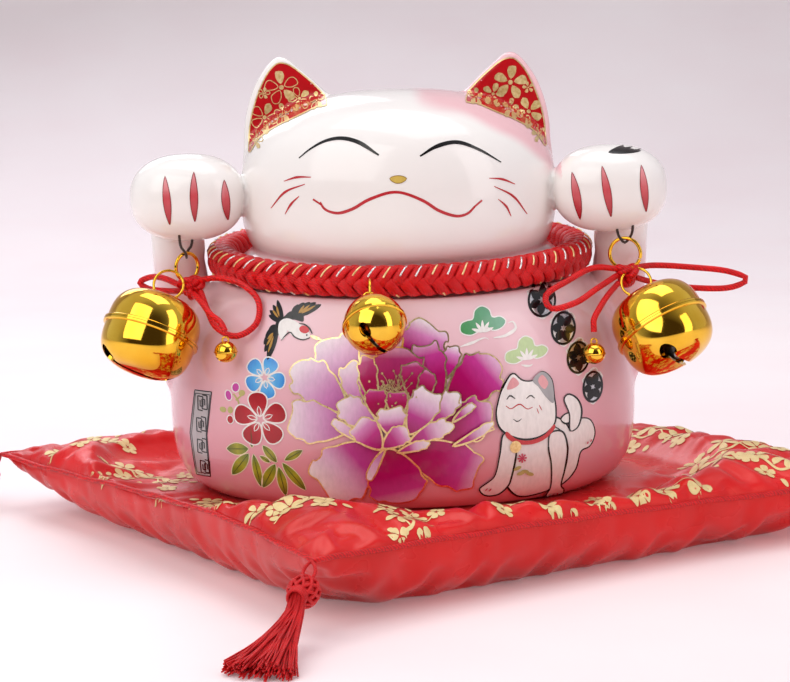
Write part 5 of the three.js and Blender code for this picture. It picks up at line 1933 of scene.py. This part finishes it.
tufts = (((47.4, 17.4), 20), ((50.6, 15.6), -10), ((52.8, 14.2), -20), ((48.8, 15.0), 10))
moss = [fill(ellipse(c, (1.7, 0.8), t), ON_CAT) for c, t in tufts]
paint("small_cat_greenery", moss, olive)

# %% [markdown]
# ## Brocade
# Blossom sprigs woven in pale gold stand a hair proud of the top of the cushion.

# %% Brocade sprigs
woven_gold, tree, shader = new_material("woven_pale_gold_thread", Roughness=0.4, Metallic=0.15)
# Floats of flat gilt thread: fine parallel ribs, bright and dull by turns. The bright and dull bands are
# a painted highlight on each rib and painted shade between ribs, mixed with random wear.
where = object_point(tree)
floats = add_node(
    tree, "ShaderNodeTexWave", {"Vector": where, "Scale": 800.0, "Distortion": 1.5},
).outputs["Fac"]
worn = noise_value(tree, where, 260.0)
painted_sheen_and_tone = math_node(tree, "MULTIPLY", math_node(tree, "ADD", floats, worn), 0.5)
wire(tree, ramp(tree, painted_sheen_and_tone, [(0.2, "#D8B068"), (0.7, "#FBE9B0")]), shader, "Base Color")
bump(tree, shader, floats, 0.0001, 0.6)


def sprig(x, y, turn, size, seed):
    """A bent twig with blossoms, buds and leaves, mm on the cushion."""
    rng = random.Random(seed)
    c, s = math.cos(math.radians(turn)), math.sin(math.radians(turn))

    def put(a, b):
        return np.array([x + size * (a * c - b * s), y + size * (a * s + b * c)])

    size *= 1.5
    twig = [put(-18, -3), put(-9, 1), put(-2, -1), put(6, 3), put(15, 2)]
    side = [put(-4, 0), put(1, 7), put(7, 11)]
    shapes = [line(twig, (0.5, 1.4, 1.1, 0.9, 0.4), 1), line(side, (0.9, 0.8, 0.4), 1)]
    shapes.append(line([put(3, 2), put(9, -4), put(14, -6)], (0.8, 0.7, 0.3), 1))
    for a, b, reach in (
        (-11, 2, 4.6), (-1, 4, 5.2), (8, 10, 4.2), (9, 0, 4.8), (14, -6, 3.4), (-5, -5, 3.6),
    ):
        centre = put(a + rng.uniform(-1, 1), b + rng.uniform(-1, 1))
        start = rng.uniform(0, 72)
        for k in range(5):
            angle = math.radians(start + 72 * k)
            way = np.array([math.cos(angle), math.sin(angle)])
            shapes.append(
                fill(
                    petal(centre + way * 0.5, centre + way * reach * size, 3.0 * size, 0.05, 3, count=16),
                    2 + k % 2,
                )
            )
    for a, b in ((-17, -1), (12, 5), (16, 4), (4, 13), (-8, 6), (2, -6)):
        shapes.append(fill(ellipse(put(a, b), (1.5 * size, 0.9 * size), rng.uniform(0, 180), 12), 2))
    return shapes


SPRIGS = [
    (-150, 45, 40, 0.9), (-118, 5, -35, 0.95), (-95, -62, 10, 1.0), (-62, -100, -30, 1.05),
    (-30, -128, 25, 1.0),
    (2, -148, 80, 0.75), (22, -112, -15, 0.9), (62, -104, 30, 0.95), (108, -84, -20, 1.0),
    (128, -40, 35, 0.95),
    (166, -44, -30, 0.9), (-132, 88, 15, 0.9), (-84, 118, -20, 0.95), (-30, 128, 30, 1.0),
    (30, 150, -40, 0.9),
    (62, 112, 20, 1.0), (118, 62, -35, 1.0), (150, 10, 10, 0.95), (-20, 172, 0, 0.8),
    (-140, -20, 60, 0.8), (-85, -85, -60, 0.7), (-48, -128, 10, 0.7), (90, -70, 75, 0.7),
    (104, 116, 60, 0.8),
]
woven = []
for number, (x, y, turn, size) in enumerate(SPRIGS):
    woven += sprig(x, y, turn, size, number)
paint("brocade_sprigs", woven, woven_gold, "above", cushion_surface, "cushion", 2.5, 0.00022, "red_satin")
